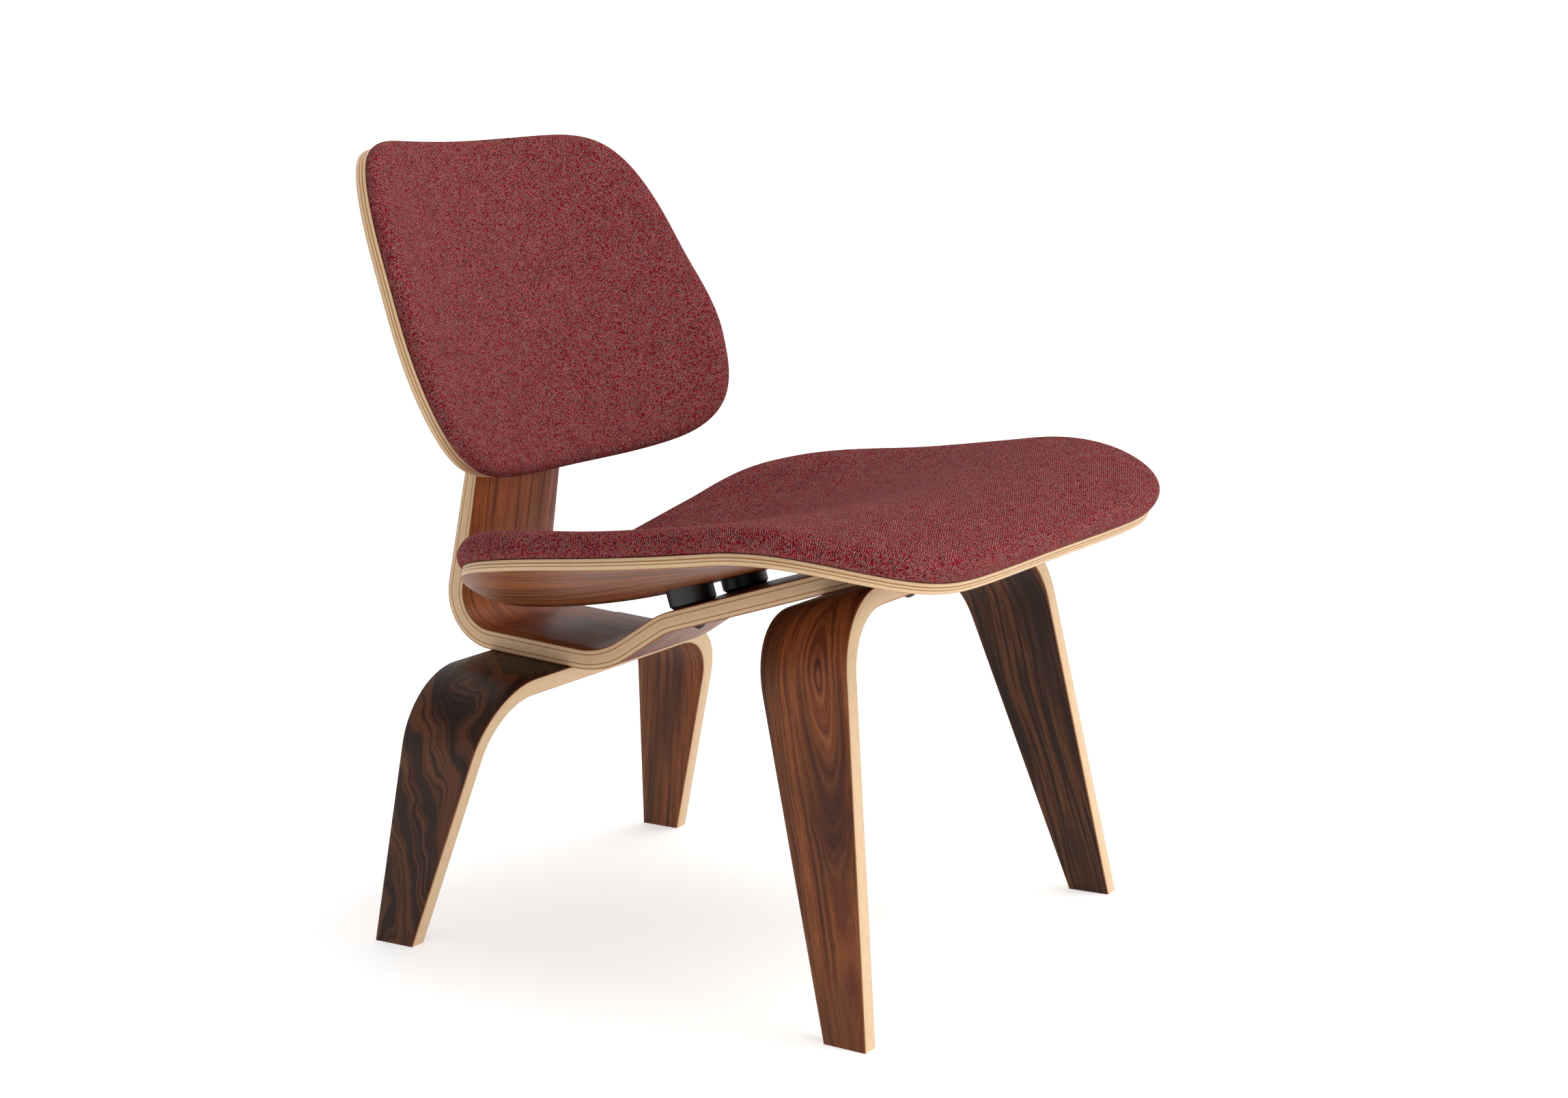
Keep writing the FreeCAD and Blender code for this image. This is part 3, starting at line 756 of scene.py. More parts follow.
def back_form():
    return Form(back_height, closed_curve(BACK_OUTLINE, 4 * CELLS), place_on_back)


# Materials

def node(tree, kind, inputs=None, stops=None, **settings):
    """Add a node with its settings, input values or links, and ramp stops; gives its first live output."""
    made = tree.nodes.new(kind)
    for name, value in settings.items():
        setattr(made, name, value)
    for key, value in (inputs or {}).items():
        named = [s for s in made.inputs if s.enabled and s.name == key]
        socket = made.inputs[key] if isinstance(key, int) else named[0]
        if isinstance(value, bpy.types.NodeSocket):
            tree.links.new(value, socket)
        else:
            socket.default_value = value
    if stops:
        ramp = made.color_ramp
        while len(ramp.elements) < len(stops):
            ramp.elements.new(1.0)
        for element, (position, shade) in zip(ramp.elements, stops):
            element.position = position
            element.color = tuple(shade) + (1.0,)
    live = [s for s in made.outputs if s.enabled]
    return live[0] if live else None


def fresh_material(name):
    material = bpy.data.materials.new(name)
    material.use_nodes = True
    material.node_tree.nodes.clear()
    return material, material.node_tree


# Figure of a veneer. Its eye lies eye_along and eye_across the sheet, in metres, and stretch is what a
# step along the grain counts beside one across it, out to reach. The growth lines wander by wander_mm
# over wander_long and wander_wide and stand band_mm apart, with dark streaks streak_mm apart. These
# sizes are in millimetres. Tone is the share of dark in the ground, below 0 for a paler one, and fade
# is how much the wood darkens per metre away from the eye.
Figure = namedtuple("Figure", "eye_along eye_across stretch reach wander_mm wander_long wander_wide "
                    "band_mm streak_mm tone fade", defaults=(0.0,))
# Painted light: the spine's upper face has a much paler ground (tone -1.2) than any other face, standing in
# for light and a lacquer sheen on it
SPINE_UPPER_PAINTED_LIGHT = Figure(0.30, 0.42, 0.05, 110.0, 8.0, 160.0, 45.0, 4.5, 17.0, -1.2)
SPINE_UNDER = Figure(0.50, -0.40, 0.05, 110.0, 9.0, 140.0, 45.0, 5.0, 20.0, 0.1)
FRONT_LEG_OUTER = Figure(0.28, -0.014, 0.24, 110.0, 9.0, 120.0, 40.0, 5.5, 22.0, 0.0, 2.2)
FRONT_LEG_INNER = Figure(0.62, 0.30, 0.20, 110.0, 14.0, 150.0, 45.0, 6.0, 28.0, 0.95)
REAR_LEG_OUTER = Figure(-0.05, 0.14, 0.75, 400.0, 55.0, 90.0, 70.0, 8.0, 18.0, 0.93)
REAR_LEG_INNER = Figure(0.50, 0.30, 0.05, 110.0, 8.0, 160.0, 45.0, 4.5, 20.0, 0.25)
SEAT_FIGURE = Figure(0.05, 0.30, 0.10, 110.0, 14.0, 170.0, 50.0, 5.5, 24.0, 0.0)
BACK_FIGURE = Figure(0.02, 0.02, 0.16, 110.0, 14.0, 150.0, 50.0, 6.0, 26.0, 0.05)


def mixed(a, b, share):
    return tuple(x * (1 - share) + y * share for x, y in zip(a, b))


def rosewood_veneer(name, colours, figure):
    """Sliced rosewood veneer under thin satin lacquer: dark growth lines wander along the sheet on a
    red brown ground, with short pores and a soft shine. An eye turns the lines into nested arches."""
    material, tree = fresh_material(name)
    grain = node(tree, "ShaderNodeUVMap", uv_map="grain")
    parts = node(tree, "ShaderNodeSeparateXYZ", {0: grain})
    along, across = parts, parts.node.outputs[1]

    # Slow wander of the growth lines, whose size along and across the grain is in millimetres
    wander_at = node(tree, "ShaderNodeVectorMath",
                     {0: grain, 1: (1000 / figure.wander_long, 1000 / figure.wander_wide, 0.0)},
                     operation="MULTIPLY")
    wander = node(tree, "ShaderNodeTexNoise",
                  {"Vector": wander_at, "Scale": 1.0, "Detail": 2.5, "Roughness": 0.5},
                  noise_dimensions="2D")
    wander = node(tree, "ShaderNodeMath", {0: wander, 1: 0.5}, operation="SUBTRACT")
    wander = node(tree, "ShaderNodeMath", {0: wander, 1: figure.wander_mm / 1000}, operation="MULTIPLY")
    # The eye's arches straighten out past its reach along the grain
    away_a = node(tree, "ShaderNodeMath", {0: along, 1: figure.eye_along}, operation="SUBTRACT")
    away_a = node(tree, "ShaderNodeMath", {0: away_a, 1: 1000 / figure.reach}, operation="MULTIPLY")
    away_a = node(tree, "ShaderNodeMath", {0: away_a}, operation="TANH")
    away_a = node(tree, "ShaderNodeMath", {0: away_a, 1: figure.stretch * figure.reach / 1000},
                  operation="MULTIPLY")
    away_c = node(tree, "ShaderNodeMath", {0: across, 1: figure.eye_across}, operation="SUBTRACT")
    square_a = node(tree, "ShaderNodeMath", {0: away_a, 1: 2.0}, operation="POWER")
    square_c = node(tree, "ShaderNodeMath", {0: away_c, 1: 2.0}, operation="POWER")
    ring = node(tree, "ShaderNodeMath", {0: square_a, 1: square_c}, operation="ADD")
    ring = node(tree, "ShaderNodeMath", {0: ring}, operation="SQRT")
    ring = node(tree, "ShaderNodeMath", {0: ring, 1: wander}, operation="ADD")

    # Growth lines a few millimetres apart and broad streaks of dark heartwood, both changing slowly along
    # the grain, over 250 mm
    line_at = node(tree, "ShaderNodeMath", {0: ring, 1: 1000 / figure.band_mm}, operation="MULTIPLY")
    slow_at = node(tree, "ShaderNodeMath", {0: along, 1: 1000 / 250}, operation="MULTIPLY")
    line_place = node(tree, "ShaderNodeCombineXYZ", {0: line_at, 1: slow_at})
    lines = node(tree, "ShaderNodeTexNoise",
                 {"Vector": line_place, "Scale": 1.0, "Detail": 4.0, "Roughness": 0.62},
                 noise_dimensions="2D")
    streak_at = node(tree, "ShaderNodeMath", {0: ring, 1: 1000 / figure.streak_mm}, operation="MULTIPLY")
    streak_place = node(tree, "ShaderNodeCombineXYZ", {0: streak_at, 1: slow_at})
    streaks = node(tree, "ShaderNodeTexNoise",
                   {"Vector": streak_place, "Scale": 1.0, "Detail": 2.0, "Roughness": 0.5},
                   noise_dimensions="2D")
    # The wood darkens away from the eye, by the figure's fade per metre
    streaks = node(tree, "ShaderNodeMath", {0: ring, 1: figure.fade, 2: streaks},
                   operation="MULTIPLY_ADD")
    dark = tuple(colours.veneer_dark)
    mid = mixed(tuple(colours.veneer_mid), dark, figure.tone)
    light = mixed(tuple(colours.veneer_light), dark, figure.tone * 0.6)
    ground = node(tree, "ShaderNodeValToRGB", {"Fac": lines}, stops=[
        (0.30, mixed(dark, mid, 0.25)), (0.44, mid),
        (0.56, mixed(mid, light, 0.7)), (0.70, mixed(mid, dark, 0.35))])
    # Streaks cover the ground more in darker wood
    depth = max(0.55 + 0.4 * figure.tone, 0.33)
    heart = node(tree, "ShaderNodeMapRange", {"Value": streaks, "From Min": 0.46, "From Max": 0.66,
                                              "To Min": 0.0, "To Max": depth}, clamp=True)
    body = node(tree, "ShaderNodeMix", {"Factor": heart, "A": ground, "B": dark + (1.0,)},
                data_type="RGBA")

    # Pores are dark dashes 14 mm long, 0.5 mm wide in the wood and drawn at 0.9 mm so that they show
    pore_at = node(tree, "ShaderNodeVectorMath", {0: grain, 1: (1000 / 14, 1000 / 0.9, 0.0)},
                   operation="MULTIPLY")
    pores = node(tree, "ShaderNodeTexNoise",
                 {"Vector": pore_at, "Scale": 1.0, "Detail": 2.0, "Roughness": 0.6},
                 noise_dimensions="2D")
    pore_mask = node(tree, "ShaderNodeMapRange", {"Value": pores, "From Min": 0.55, "From Max": 0.75,
                                                  "To Min": 0.0, "To Max": 0.55}, clamp=True)
    filled = mixed(dark, mid, 0.2) + (1.0,)
    surface = node(tree, "ShaderNodeMix", {"Factor": pore_mask, "A": body, "B": filled}, data_type="RGBA")
    rough = node(tree, "ShaderNodeMapRange", {"Value": pores, "From Min": 0.3, "From Max": 0.7,
                                              "To Min": 0.38, "To Max": 0.5})
    bump = node(tree, "ShaderNodeBump", {"Height": pores, "Strength": 0.06, "Distance": 0.0004})
    shader = node(tree, "ShaderNodeBsdfPrincipled", {
        "Base Color": surface, "Roughness": rough, "IOR": 1.5, "Specular IOR Level": 0.2, "Normal": bump})
    node(tree, "ShaderNodeOutputMaterial", {"Surface": shader})
    return material


def ply_edge(name, colours, thickness, layers):
    """Sanded edge of maple plywood: pale long plies between thin browner cross plies and glue lines,
    with fine flecks along each ply. Layers are (share through the sheet, share of brown), where a share
    past 1 goes on toward the veneer's brown."""
    material, tree = fresh_material(name)
    spot = node(tree, "ShaderNodeUVMap", uv_map="layers")
    parts = node(tree, "ShaderNodeSeparateXYZ", {0: spot})
    pale = tuple(colours.ply_pale)
    brown = tuple(colours.ply_brown)
    veneer = tuple(colours.veneer_mid)
    stops = []
    for share, brownness in layers:
        shade = mixed(pale, brown, brownness) if brownness <= 1 else mixed(brown, veneer, brownness - 1)
        stops.append((share, shade))
    plies = node(tree, "ShaderNodeValToRGB", {"Fac": parts.node.outputs[1]}, stops=stops)
    # Flecks about 12 mm long and 0.5 mm high
    fleck_at = node(tree, "ShaderNodeVectorMath",
                    {0: spot, 1: (1000 / 12, millimetres(thickness) / 0.5, 0.0)}, operation="MULTIPLY")
    flecks = node(tree, "ShaderNodeTexNoise",
                  {"Vector": fleck_at, "Scale": 1.0, "Detail": 3.0, "Roughness": 0.6},
                  noise_dimensions="2D")
    fleck_mask = node(tree, "ShaderNodeMapRange", {"Value": flecks, "From Min": 0.48, "From Max": 0.75,
                                                   "To Min": 0.0, "To Max": 0.4}, clamp=True)
    surface = node(tree, "ShaderNodeMix", {"Factor": fleck_mask, "A": plies, "B": brown + (1.0,)},
                   data_type="RGBA")
    bump = node(tree, "ShaderNodeBump", {"Height": flecks, "Strength": 0.1, "Distance": 0.0003})
    shader = node(tree, "ShaderNodeBsdfPrincipled", {
        "Base Color": surface, "Roughness": 0.5, "IOR": 1.5, "Specular IOR Level": 0.2, "Normal": bump})
    node(tree, "ShaderNodeOutputMaterial", {"Surface": shader})
    return material


def wool_tweed(name, colours, spacing):
    """Woven wool tweed: rows of crimson and wine thread alternate with rows of tan and grey and slant
    across the cloth, so it reads as one dusty red with a fine twill, flecks and a soft nap."""
    material, tree = fresh_material(name)
    grain = node(tree, "ShaderNodeUVMap", uv_map="grain")
    # Rows lie at 23 degrees to the width of the cloth, and a stitch is a third longer than a row is high
    count = 1 / spacing
    laid = node(tree, "ShaderNodeVectorRotate", {"Vector": grain, "Angle": math.radians(-67)},
                rotation_type="Z_AXIS")
    threads = node(tree, "ShaderNodeVectorMath", {0: laid, 1: (count * 0.75, count, 0.0)},
                   operation="MULTIPLY")
    parts = node(tree, "ShaderNodeSeparateXYZ", {0: threads})
    # Uneven yarn lets a row wander by about half its height within 5 mm
    slub = node(tree, "ShaderNodeTexNoise", {"Vector": grain, "Scale": 1000 / 5, "Detail": 1.0},
                noise_dimensions="2D")
    over = node(tree, "ShaderNodeMath", {0: slub, 1: 2.5, 2: parts.node.outputs[1]},
                operation="MULTIPLY_ADD")
    row = node(tree, "ShaderNodeMath", {0: over}, operation="FLOOR")
    stagger = node(tree, "ShaderNodeMath", {0: row, 1: 0.37}, operation="MULTIPLY")
    slid = node(tree, "ShaderNodeMath", {0: parts, 1: stagger}, operation="ADD")
    stitch = node(tree, "ShaderNodeMath", {0: slid}, operation="FLOOR")
    cell = node(tree, "ShaderNodeCombineXYZ", {0: stitch, 1: row})
    chance = node(tree, "ShaderNodeTexWhiteNoise", {"Vector": cell}, noise_dimensions="2D")
    # Every second row has mostly the darker threads, and chance picks the thread of each stitch
    order = node(tree, "ShaderNodeMath", {0: row, 1: 2.0}, operation="FLOORED_MODULO")
    order = node(tree, "ShaderNodeMath", {0: order, 1: 0.4}, operation="MULTIPLY")
    pick = node(tree, "ShaderNodeMath", {0: chance, 1: 0.6, 2: order}, operation="MULTIPLY_ADD")
    yarn = node(tree, "ShaderNodeValToRGB", {"Fac": pick}, stops=[
        (0.0, tuple(colours.tweed_dark)), (0.21, tuple(colours.tweed_red)),
        (0.54, tuple(colours.tweed_grey)), (0.77, tuple(colours.tweed_tan))])
    yarn.node.color_ramp.interpolation = "CONSTANT"
    # Each stitch is a small mound, with painted shade in the gaps between threads
    share_a = node(tree, "ShaderNodeMath", {0: slid}, operation="FRACT")
    share_b = node(tree, "ShaderNodeMath", {0: over}, operation="FRACT")
    mound_a = node(tree, "ShaderNodeMath", {0: share_a, 1: math.pi}, operation="MULTIPLY")
    mound_a = node(tree, "ShaderNodeMath", {0: mound_a}, operation="SINE")
    mound_b = node(tree, "ShaderNodeMath", {0: share_b, 1: math.pi}, operation="MULTIPLY")
    mound_b = node(tree, "ShaderNodeMath", {0: mound_b}, operation="SINE")
    mound = node(tree, "ShaderNodeMath", {0: mound_a, 1: mound_b}, operation="MULTIPLY")
    gap_shade = node(tree, "ShaderNodeMapRange", {"Value": mound, "From Min": 0.0, "From Max": 0.6,
                                            "To Min": 0.45, "To Max": 0.0}, clamp=True)
    # Painted shade: the gaps between threads are darkened toward the dark wine thread
    between = tuple(colours.tweed_dark) + (1.0,)
    woven = node(tree, "ShaderNodeMix", {"Factor": gap_shade, "A": yarn, "B": between}, data_type="RGBA")
    # Uneven dye in patches of 22 mm
    patches = node(tree, "ShaderNodeTexNoise", {"Vector": grain, "Scale": 1000 / 22, "Detail": 2.0},
                   noise_dimensions="2D")
    shade = node(tree, "ShaderNodeMapRange", {"Value": patches, "From Min": 0.3, "From Max": 0.7,
                                              "To Min": 0.93, "To Max": 1.06})
    dyed = node(tree, "ShaderNodeVectorMath", {0: woven, "Scale": shade}, operation="SCALE")
    bump = node(tree, "ShaderNodeBump", {"Height": mound, "Strength": 0.35, "Distance": 0.0004})
    shader = node(tree, "ShaderNodeBsdfPrincipled", {
        "Base Color": dyed, "Roughness": 0.92, "IOR": 1.45, "Specular IOR Level": 0.03, "Normal": bump})
    node(tree, "ShaderNodeOutputMaterial", {"Surface": shader})
    return material


def moulded_rubber(colours):
    """Black moulded rubber: a dull even skin with a faint sheen and the fine grain of the mould."""
    material, tree = fresh_material("moulded_black_rubber")
    spot = node(tree, "ShaderNodeTexCoord").node.outputs["Object"]
    # Mould grit of 0.8 mm
    grit = node(tree, "ShaderNodeTexNoise", {"Vector": spot, "Scale": 1000 / 0.8, "Detail": 2.0})
    rough = node(tree, "ShaderNodeMapRange", {"Value": grit, "From Min": 0.3, "From Max": 0.7,
                                              "To Min": 0.36, "To Max": 0.52})
    shade = node(tree, "ShaderNodeMapRange", {"Value": grit, "From Min": 0.3, "From Max": 0.7,
                                              "To Min": 0.8, "To Max": 1.25})
    black = node(tree, "ShaderNodeVectorMath", {0: tuple(colours.rubber), "Scale": shade},
                 operation="SCALE")
    bump = node(tree, "ShaderNodeBump", {"Height": grit, "Strength": 0.12, "Distance": 0.0002})
    shader = node(tree, "ShaderNodeBsdfPrincipled", {
        "Base Color": black, "Roughness": rough, "IOR": 1.52, "Normal": bump})
    node(tree, "ShaderNodeOutputMaterial", {"Surface": shader})
    return material


def metal(name, tint, rough_low, rough_high):
    """Turned steel with a thin finish: dark or silvery reflections, uneven at the size of tool marks."""
    material, tree = fresh_material(name)
    spot = node(tree, "ShaderNodeTexCoord").node.outputs["Object"]
    # Tool marks of 0.6 mm
    marks = node(tree, "ShaderNodeTexNoise", {"Vector": spot, "Scale": 1000 / 0.6, "Detail": 3.0})
    rough = node(tree, "ShaderNodeMapRange", {"Value": marks, "From Min": 0.3, "From Max": 0.7,
                                              "To Min": rough_low, "To Max": rough_high})
    shade = node(tree, "ShaderNodeMapRange", {"Value": marks, "From Min": 0.3, "From Max": 0.7,
                                              "To Min": 0.85, "To Max": 1.1})
    tone = node(tree, "ShaderNodeVectorMath", {0: tuple(tint), "Scale": shade}, operation="SCALE")
    shader = node(tree, "ShaderNodeBsdfPrincipled", {
        "Base Color": tone, "Roughness": rough, "Metallic": 1.0})
    node(tree, "ShaderNodeOutputMaterial", {"Surface": shader})
    return material


def studio_floor(colours):
    """Opal acrylic of a light table: lit from beneath, it stays one pale tone under faint shadows."""
    material, tree = fresh_material("opal_acrylic_floor")
    spot = node(tree, "ShaderNodeTexCoord").node.outputs["Object"]
    # Matt grain of 3 mm
    matt = node(tree, "ShaderNodeTexNoise", {"Vector": spot, "Scale": 1000 / 3, "Detail": 2.0})
    bump = node(tree, "ShaderNodeBump", {"Height": matt, "Strength": 0.03, "Distance": 0.0005})
    shader = node(tree, "ShaderNodeBsdfPrincipled", {
        "Base Color": tuple(colours.floor) + (1.0,), "Roughness": 0.85, "IOR": 1.45, "Normal": bump,
        "Emission Color": (1.0, 1.0, 1.0, 1.0), "Emission Strength": 0.5})
    node(tree, "ShaderNodeOutputMaterial", {"Surface": shader})
    return material


# Plies of each edge, from the upper or outer face down
SPINE_PLIES = (
    (0.0, 1.8), (0.05, 1.5), (0.07, 0.0), (0.21, 0.0), (0.23, 1.0), (0.27, 1.0), (0.29, 0.0), (0.50, 0.12),
    (0.70, 0.0), (0.72, 1.0), (0.76, 1.0), (0.78, 0.0), (0.92, 0.0), (0.95, 1.5), (1.0, 1.8))
SEAT_PLIES = (
    (0.0, 1.2), (0.05, 0.1), (0.26, 0.0), (0.29, 1.0), (0.40, 1.0), (0.42, 0.0), (0.54, 0.0), (0.56, 0.9),
    (0.65, 0.9), (0.67, 0.05), (0.88, 0.0), (0.90, 0.5), (0.93, 0.1), (0.96, 1.4), (1.0, 1.7))
LEG_PLIES = (
    (0.0, 1.8), (0.04, 1.5), (0.06, 0.1), (0.24, 0.02), (0.26, 0.3), (0.28, 0.0), (0.48, 0.0), (0.50, 0.25),
    (0.52, 0.0), (0.72, 0.05), (0.74, 0.3), (0.76, 0.0), (0.93, 0.1), (0.96, 1.5), (1.0, 1.8))


# Operators

def settings(context):
    return context.scene.chair_sizes, context.scene.chair_colours


def finish_piece(piece, body, slot, *nodes):
    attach(piece, body)
    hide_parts(*nodes)
    return piece


class CHAIR_OT_spine(bpy.types.Operator):
    """Build the bent plywood spine"""
    bl_idname = "chair.spine"
    bl_label = "Spine"

    def execute(self, context):
        sizes, colours = settings(context)
        # The upper face carries painted light and a painted sheen: a paler ground than the under face
        upper = rosewood_veneer("rosewood_veneer_spine_upper_painted_light", colours, SPINE_UPPER_PAINTED_LIGHT)
        under = rosewood_veneer("rosewood_veneer_spine_under", colours, SPINE_UNDER)
        edge = ply_edge("maple_ply_edge_spine", colours, sizes.spine_thickness, SPINE_PLIES)
        piece = spine_skin(sizes).make("spine_strip", [upper, edge, under], SHARP_DEGREES)
        finish_piece(piece, "frame", "plywood", "spine")
        return {"FINISHED"}


class CHAIR_OT_legs(bpy.types.Operator):
    """Build the two bent plywood legs"""
    bl_idname = "chair.legs"
    bl_label = "Legs"

    def execute(self, context):
        sizes, colours = settings(context)
        edge = ply_edge("maple_ply_edge_leg", colours, sizes.leg_thickness, LEG_PLIES)
        rows = (
            ("front_leg", FRONT_LEG, False, FRONT_LEG_OUTER, FRONT_LEG_INNER),
            ("rear_leg", REAR_LEG, True, REAR_LEG_OUTER, REAR_LEG_INNER),
        )
        for name, leg, matched, outer_figure, inner_figure in rows:
            outer = rosewood_veneer("rosewood_veneer_" + name + "_outer", colours, outer_figure)
            inner = rosewood_veneer("rosewood_veneer_" + name + "_inner", colours, inner_figure)
            skin = leg_skin(leg, sizes, matched)
            piece = skin.make(name + "_strip", [outer, edge, inner], SHARP_DEGREES)
            finish_piece(piece, "frame", "plywood", name)
        return {"FINISHED"}


class CHAIR_OT_panels(bpy.types.Operator):
    """Build the moulded seat and back panels"""
    bl_idname = "chair.panels"
    bl_label = "Seat and back panels"

    def execute(self, context):
        sizes, colours = settings(context)
        rounding = millimetres(sizes.edge_round)
        rows = (
            ("seat_panel", "frame", seat_form(), sizes.seat_thickness, SEAT_FIGURE),
            ("back_panel", "back", back_form(), sizes.back_thickness, BACK_FIGURE),
        )
        for name, body, form, thickness, figure in rows:
            veneer = rosewood_veneer("rosewood_veneer_" + name, colours, figure)
            edge = ply_edge("maple_ply_edge_" + name, colours, thickness, SEAT_PLIES)
            skin = panel_skin(form, millimetres(thickness), rounding)
            piece = skin.make(name + "_sheet", [veneer, edge, veneer], SHARP_DEGREES)
            finish_piece(piece, body, "plywood", name)
        return {"FINISHED"}


def covered(name, skin, held, tweed):
    """A pad in its swollen and smoothed cover."""
    piece = skin.make(name, [tweed])
    swell(piece, held)
    piece.modifiers.new("smooth", "SUBSURF").render_levels = 1
    return piece


class CHAIR_OT_seat_pad(bpy.types.Operator):
    """Build the tweed pad on the seat"""
    bl_idname = "chair.seat_pad"
    bl_label = "Seat pad"

    def execute(self, context):
        sizes, colours = settings(context)

        def bulge(x, y):
            corner = smooth_step(abs(x), 190, 250) * smooth_step(-y, 120, 200)
            rear = smooth_step(y, 10, 120)
            return SEAT_OVERHANG + SEAT_REAR_OVERHANG * rear + SEAT_CORNER_OVERHANG * corner

        def edge(x, y):
            side = smooth_step(abs(x), 170, 240)
            rear = smooth_step(y, -60, 80)
            return millimetres(sizes.seat_pad_edge) + SEAT_REAR_RISE * side * rear

        skin, held = pad_skin(seat_form(), edge, millimetres(sizes.seat_pad_crown), bulge)
        tweed = wool_tweed("wool_tweed_seat", colours, sizes.thread_spacing)
        piece = covered("seat_pad", skin, held, tweed)
        finish_piece(piece, "frame", "tweed", "seat_cover", "seat_foam")
        return {"FINISHED"}


class CHAIR_OT_back_pad(bpy.types.Operator):
    """Build the tweed pad on the back"""
    bl_idname = "chair.back_pad"
    bl_label = "Back pad"

    def execute(self, context):
        sizes, colours = settings(context)

        def bulge(across, up):
            foot = smooth_step(-up, 85, 145)
            top = smooth_step(up, 60, 120)
            return BACK_OVERHANG + BACK_FOOT_OVERHANG * foot + BACK_TOP_OVERHANG * top

        def edge(across, up):
            return millimetres(sizes.back_pad_edge)

        skin, held = pad_skin(back_form(), edge, millimetres(sizes.back_pad_crown), bulge)
        tweed = wool_tweed("wool_tweed_back", colours, sizes.thread_spacing)
        piece = covered("back_pad", skin, held, tweed)
        finish_piece(piece, "back", "tweed", "back_cover", "back_foam")
        return {"FINISHED"}


def dress(names, material):
    """Give frame solids one finish."""
    for name in names:
        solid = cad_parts[name]
        solid.data.materials.clear()
        solid.data.materials.append(material)


class CHAIR_OT_discs(bpy.types.Operator):
    """Finish the rubber discs"""
    bl_idname = "chair.discs"
    bl_label = "Rubber discs"

    def execute(self, context):
        colours = settings(context)[1]
        dress([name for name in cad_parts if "_mount_" in name], moulded_rubber(colours))
        return {"FINISHED"}


class CHAIR_OT_fasteners(bpy.types.Operator):
    """Finish the screws and threaded inserts"""
    bl_idname = "chair.fasteners"
    bl_label = "Screws and inserts"

    def execute(self, context):
        colours = settings(context)[1]
        blackened = metal("blackened_steel", colours.steel, 0.28, 0.42)
        plated = metal("zinc_plated_steel", colours.zinc, 0.22, 0.36)
        dress([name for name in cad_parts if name.endswith("_screws")], blackened)
        dress([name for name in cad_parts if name.endswith("_inserts")], plated)
        return {"FINISHED"}


def studio_world():
    """White backdrop behind the chair that falls off overhead to a dim room on the camera's side, with
    a white skirting all round."""
    world = bpy.data.worlds.new("studio")
    world.use_nodes = True
    tree = world.node_tree
    tree.nodes.clear()
    direction = node(tree, "ShaderNodeTexCoord")
    ahead = (math.sin(CAMERA_YAW), math.cos(CAMERA_YAW), 0.0)
    facing = node(tree, "ShaderNodeVectorMath", {0: direction, 1: ahead}, operation="DOT_PRODUCT")
    level = node(tree, "ShaderNodeMapRange", {"Value": facing, "From Min": -0.5, "From Max": 0.75,
                                              "To Min": 0.3, "To Max": 1.05}, clamp=True)
    parts = node(tree, "ShaderNodeSeparateXYZ", {0: direction})
    rise = parts.node.outputs[2]
    skirting = node(tree, "ShaderNodeMapRange", {"Value": rise, "From Min": 0.2, "From Max": 0.45,
                                                 "To Min": 1.05, "To Max": 0.0}, clamp=True)
    level = node(tree, "ShaderNodeMath", {0: level, 1: skirting}, operation="MAXIMUM")
    background = node(tree, "ShaderNodeBackground", {"Color": (1.0, 1.0, 1.0, 1.0), "Strength": level})
    node(tree, "ShaderNodeOutputWorld", {"Surface": background})
    return world


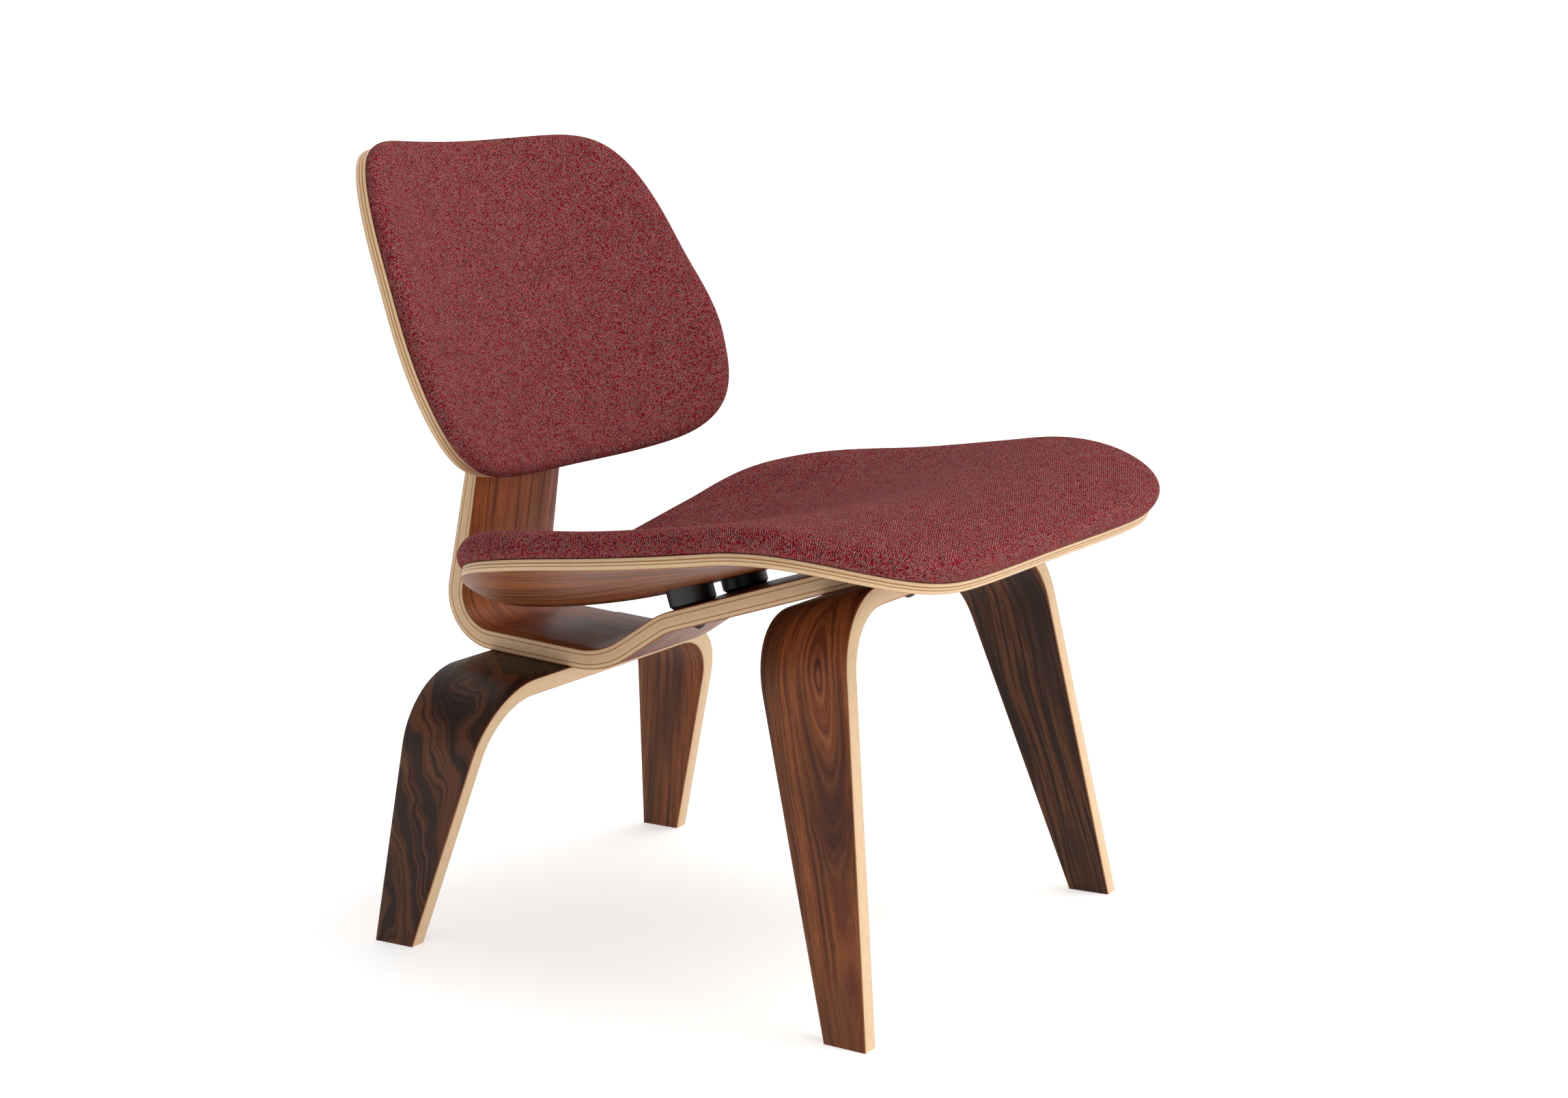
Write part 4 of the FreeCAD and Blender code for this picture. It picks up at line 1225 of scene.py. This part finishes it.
class CHAIR_OT_stage(bpy.types.Operator):
    """Set the pale floor, soft light and camera"""
    bl_idname = "chair.stage"
    bl_label = "Studio"

    def execute(self, context):
        colours = settings(context)[1]
        scene = context.scene
        floor_mesh = bpy.data.meshes.new("studio_floor")
        corners = ((-1, -1), (1, -1), (1, 1), (-1, 1))
        points = [(x * FLOOR_HALF, y * FLOOR_HALF, 0) for x, y in corners]
        floor_mesh.from_pydata(points, [], [(0, 1, 2, 3)])
        floor_mesh.materials.append(studio_floor(colours))
        floor = bpy.data.objects.new("studio_floor", floor_mesh)
        scene.collection.objects.link(floor)

        scene.world = studio_world()
        key = bpy.data.lights.new("key_light", "SUN")
        key.energy = KEY_ENERGY
        key.angle = KEY_ANGLE
        lamp = bpy.data.objects.new("key_light", key)
        lamp.rotation_euler = Vector(KEY_DIRECTION).to_track_quat("-Z", "Y").to_euler()
        scene.collection.objects.link(lamp)
        front = bpy.data.lights.new("front_softbox", "AREA")
        front.shape = "RECTANGLE"
        front.size, front.size_y = SOFTBOX_SIZE
        front.energy = SOFTBOX_ENERGY
        softbox = bpy.data.objects.new("front_softbox", front)
        softbox.location = SOFTBOX_PLACE
        toward = Vector(SOFTBOX_AIM) - softbox.location
        softbox.rotation_euler = toward.to_track_quat("-Z", "Y").to_euler()
        scene.collection.objects.link(softbox)

        data = bpy.data.cameras.new("camera")
        data.lens = CAMERA_LENS_MM
        data.sensor_width = CAMERA_SENSOR_MM
        data.sensor_fit = "HORIZONTAL"
        data.clip_end = CAMERA_REACH
        camera = bpy.data.objects.new("camera", data)
        camera.location = CAMERA_PLACE
        level = math.cos(CAMERA_FALL)
        ahead = Vector((math.sin(CAMERA_YAW) * level, math.cos(CAMERA_YAW) * level,
                        -math.sin(CAMERA_FALL)))
        camera.rotation_euler = ahead.to_track_quat("-Z", "Y").to_euler()
        scene.collection.objects.link(camera)
        scene.camera = camera
        scene.view_settings.view_transform = "Standard"
        return {"FINISHED"}


OPERATORS = (CHAIR_OT_spine, CHAIR_OT_legs, CHAIR_OT_panels, CHAIR_OT_seat_pad, CHAIR_OT_back_pad,
             CHAIR_OT_discs, CHAIR_OT_fasteners, CHAIR_OT_stage)


class CHAIR_PT_panel(bpy.types.Panel):
    """List of the chair's pieces"""
    bl_idname = "CHAIR_PT_panel"
    bl_label = "Chair"
    bl_space_type = "VIEW_3D"
    bl_region_type = "UI"
    bl_category = "Chair"

    def draw(self, context):
        column = self.layout.column()
        for operator in OPERATORS:
            column.operator(operator.bl_idname)
        for group in settings(context):
            for name in group.__annotations__:
                column.prop(group, name)


CLASSES = (ChairSizes, ChairColours) + OPERATORS + (CHAIR_PT_panel,)


def register():
    for cls in CLASSES:
        bpy.utils.register_class(cls)
    bpy.types.Scene.chair_sizes = PointerProperty(type=ChairSizes)
    bpy.types.Scene.chair_colours = PointerProperty(type=ChairColours)


def unregister():
    del bpy.types.Scene.chair_colours
    del bpy.types.Scene.chair_sizes
    for cls in reversed(CLASSES):
        bpy.utils.unregister_class(cls)


def main():
    register()
    bpy.ops.chair.spine()
    bpy.ops.chair.legs()
    bpy.ops.chair.panels()
    bpy.ops.chair.seat_pad()
    bpy.ops.chair.back_pad()
    bpy.ops.chair.discs()
    bpy.ops.chair.fasteners()
    bpy.ops.chair.stage()


if __name__ == "__main__":
    main()
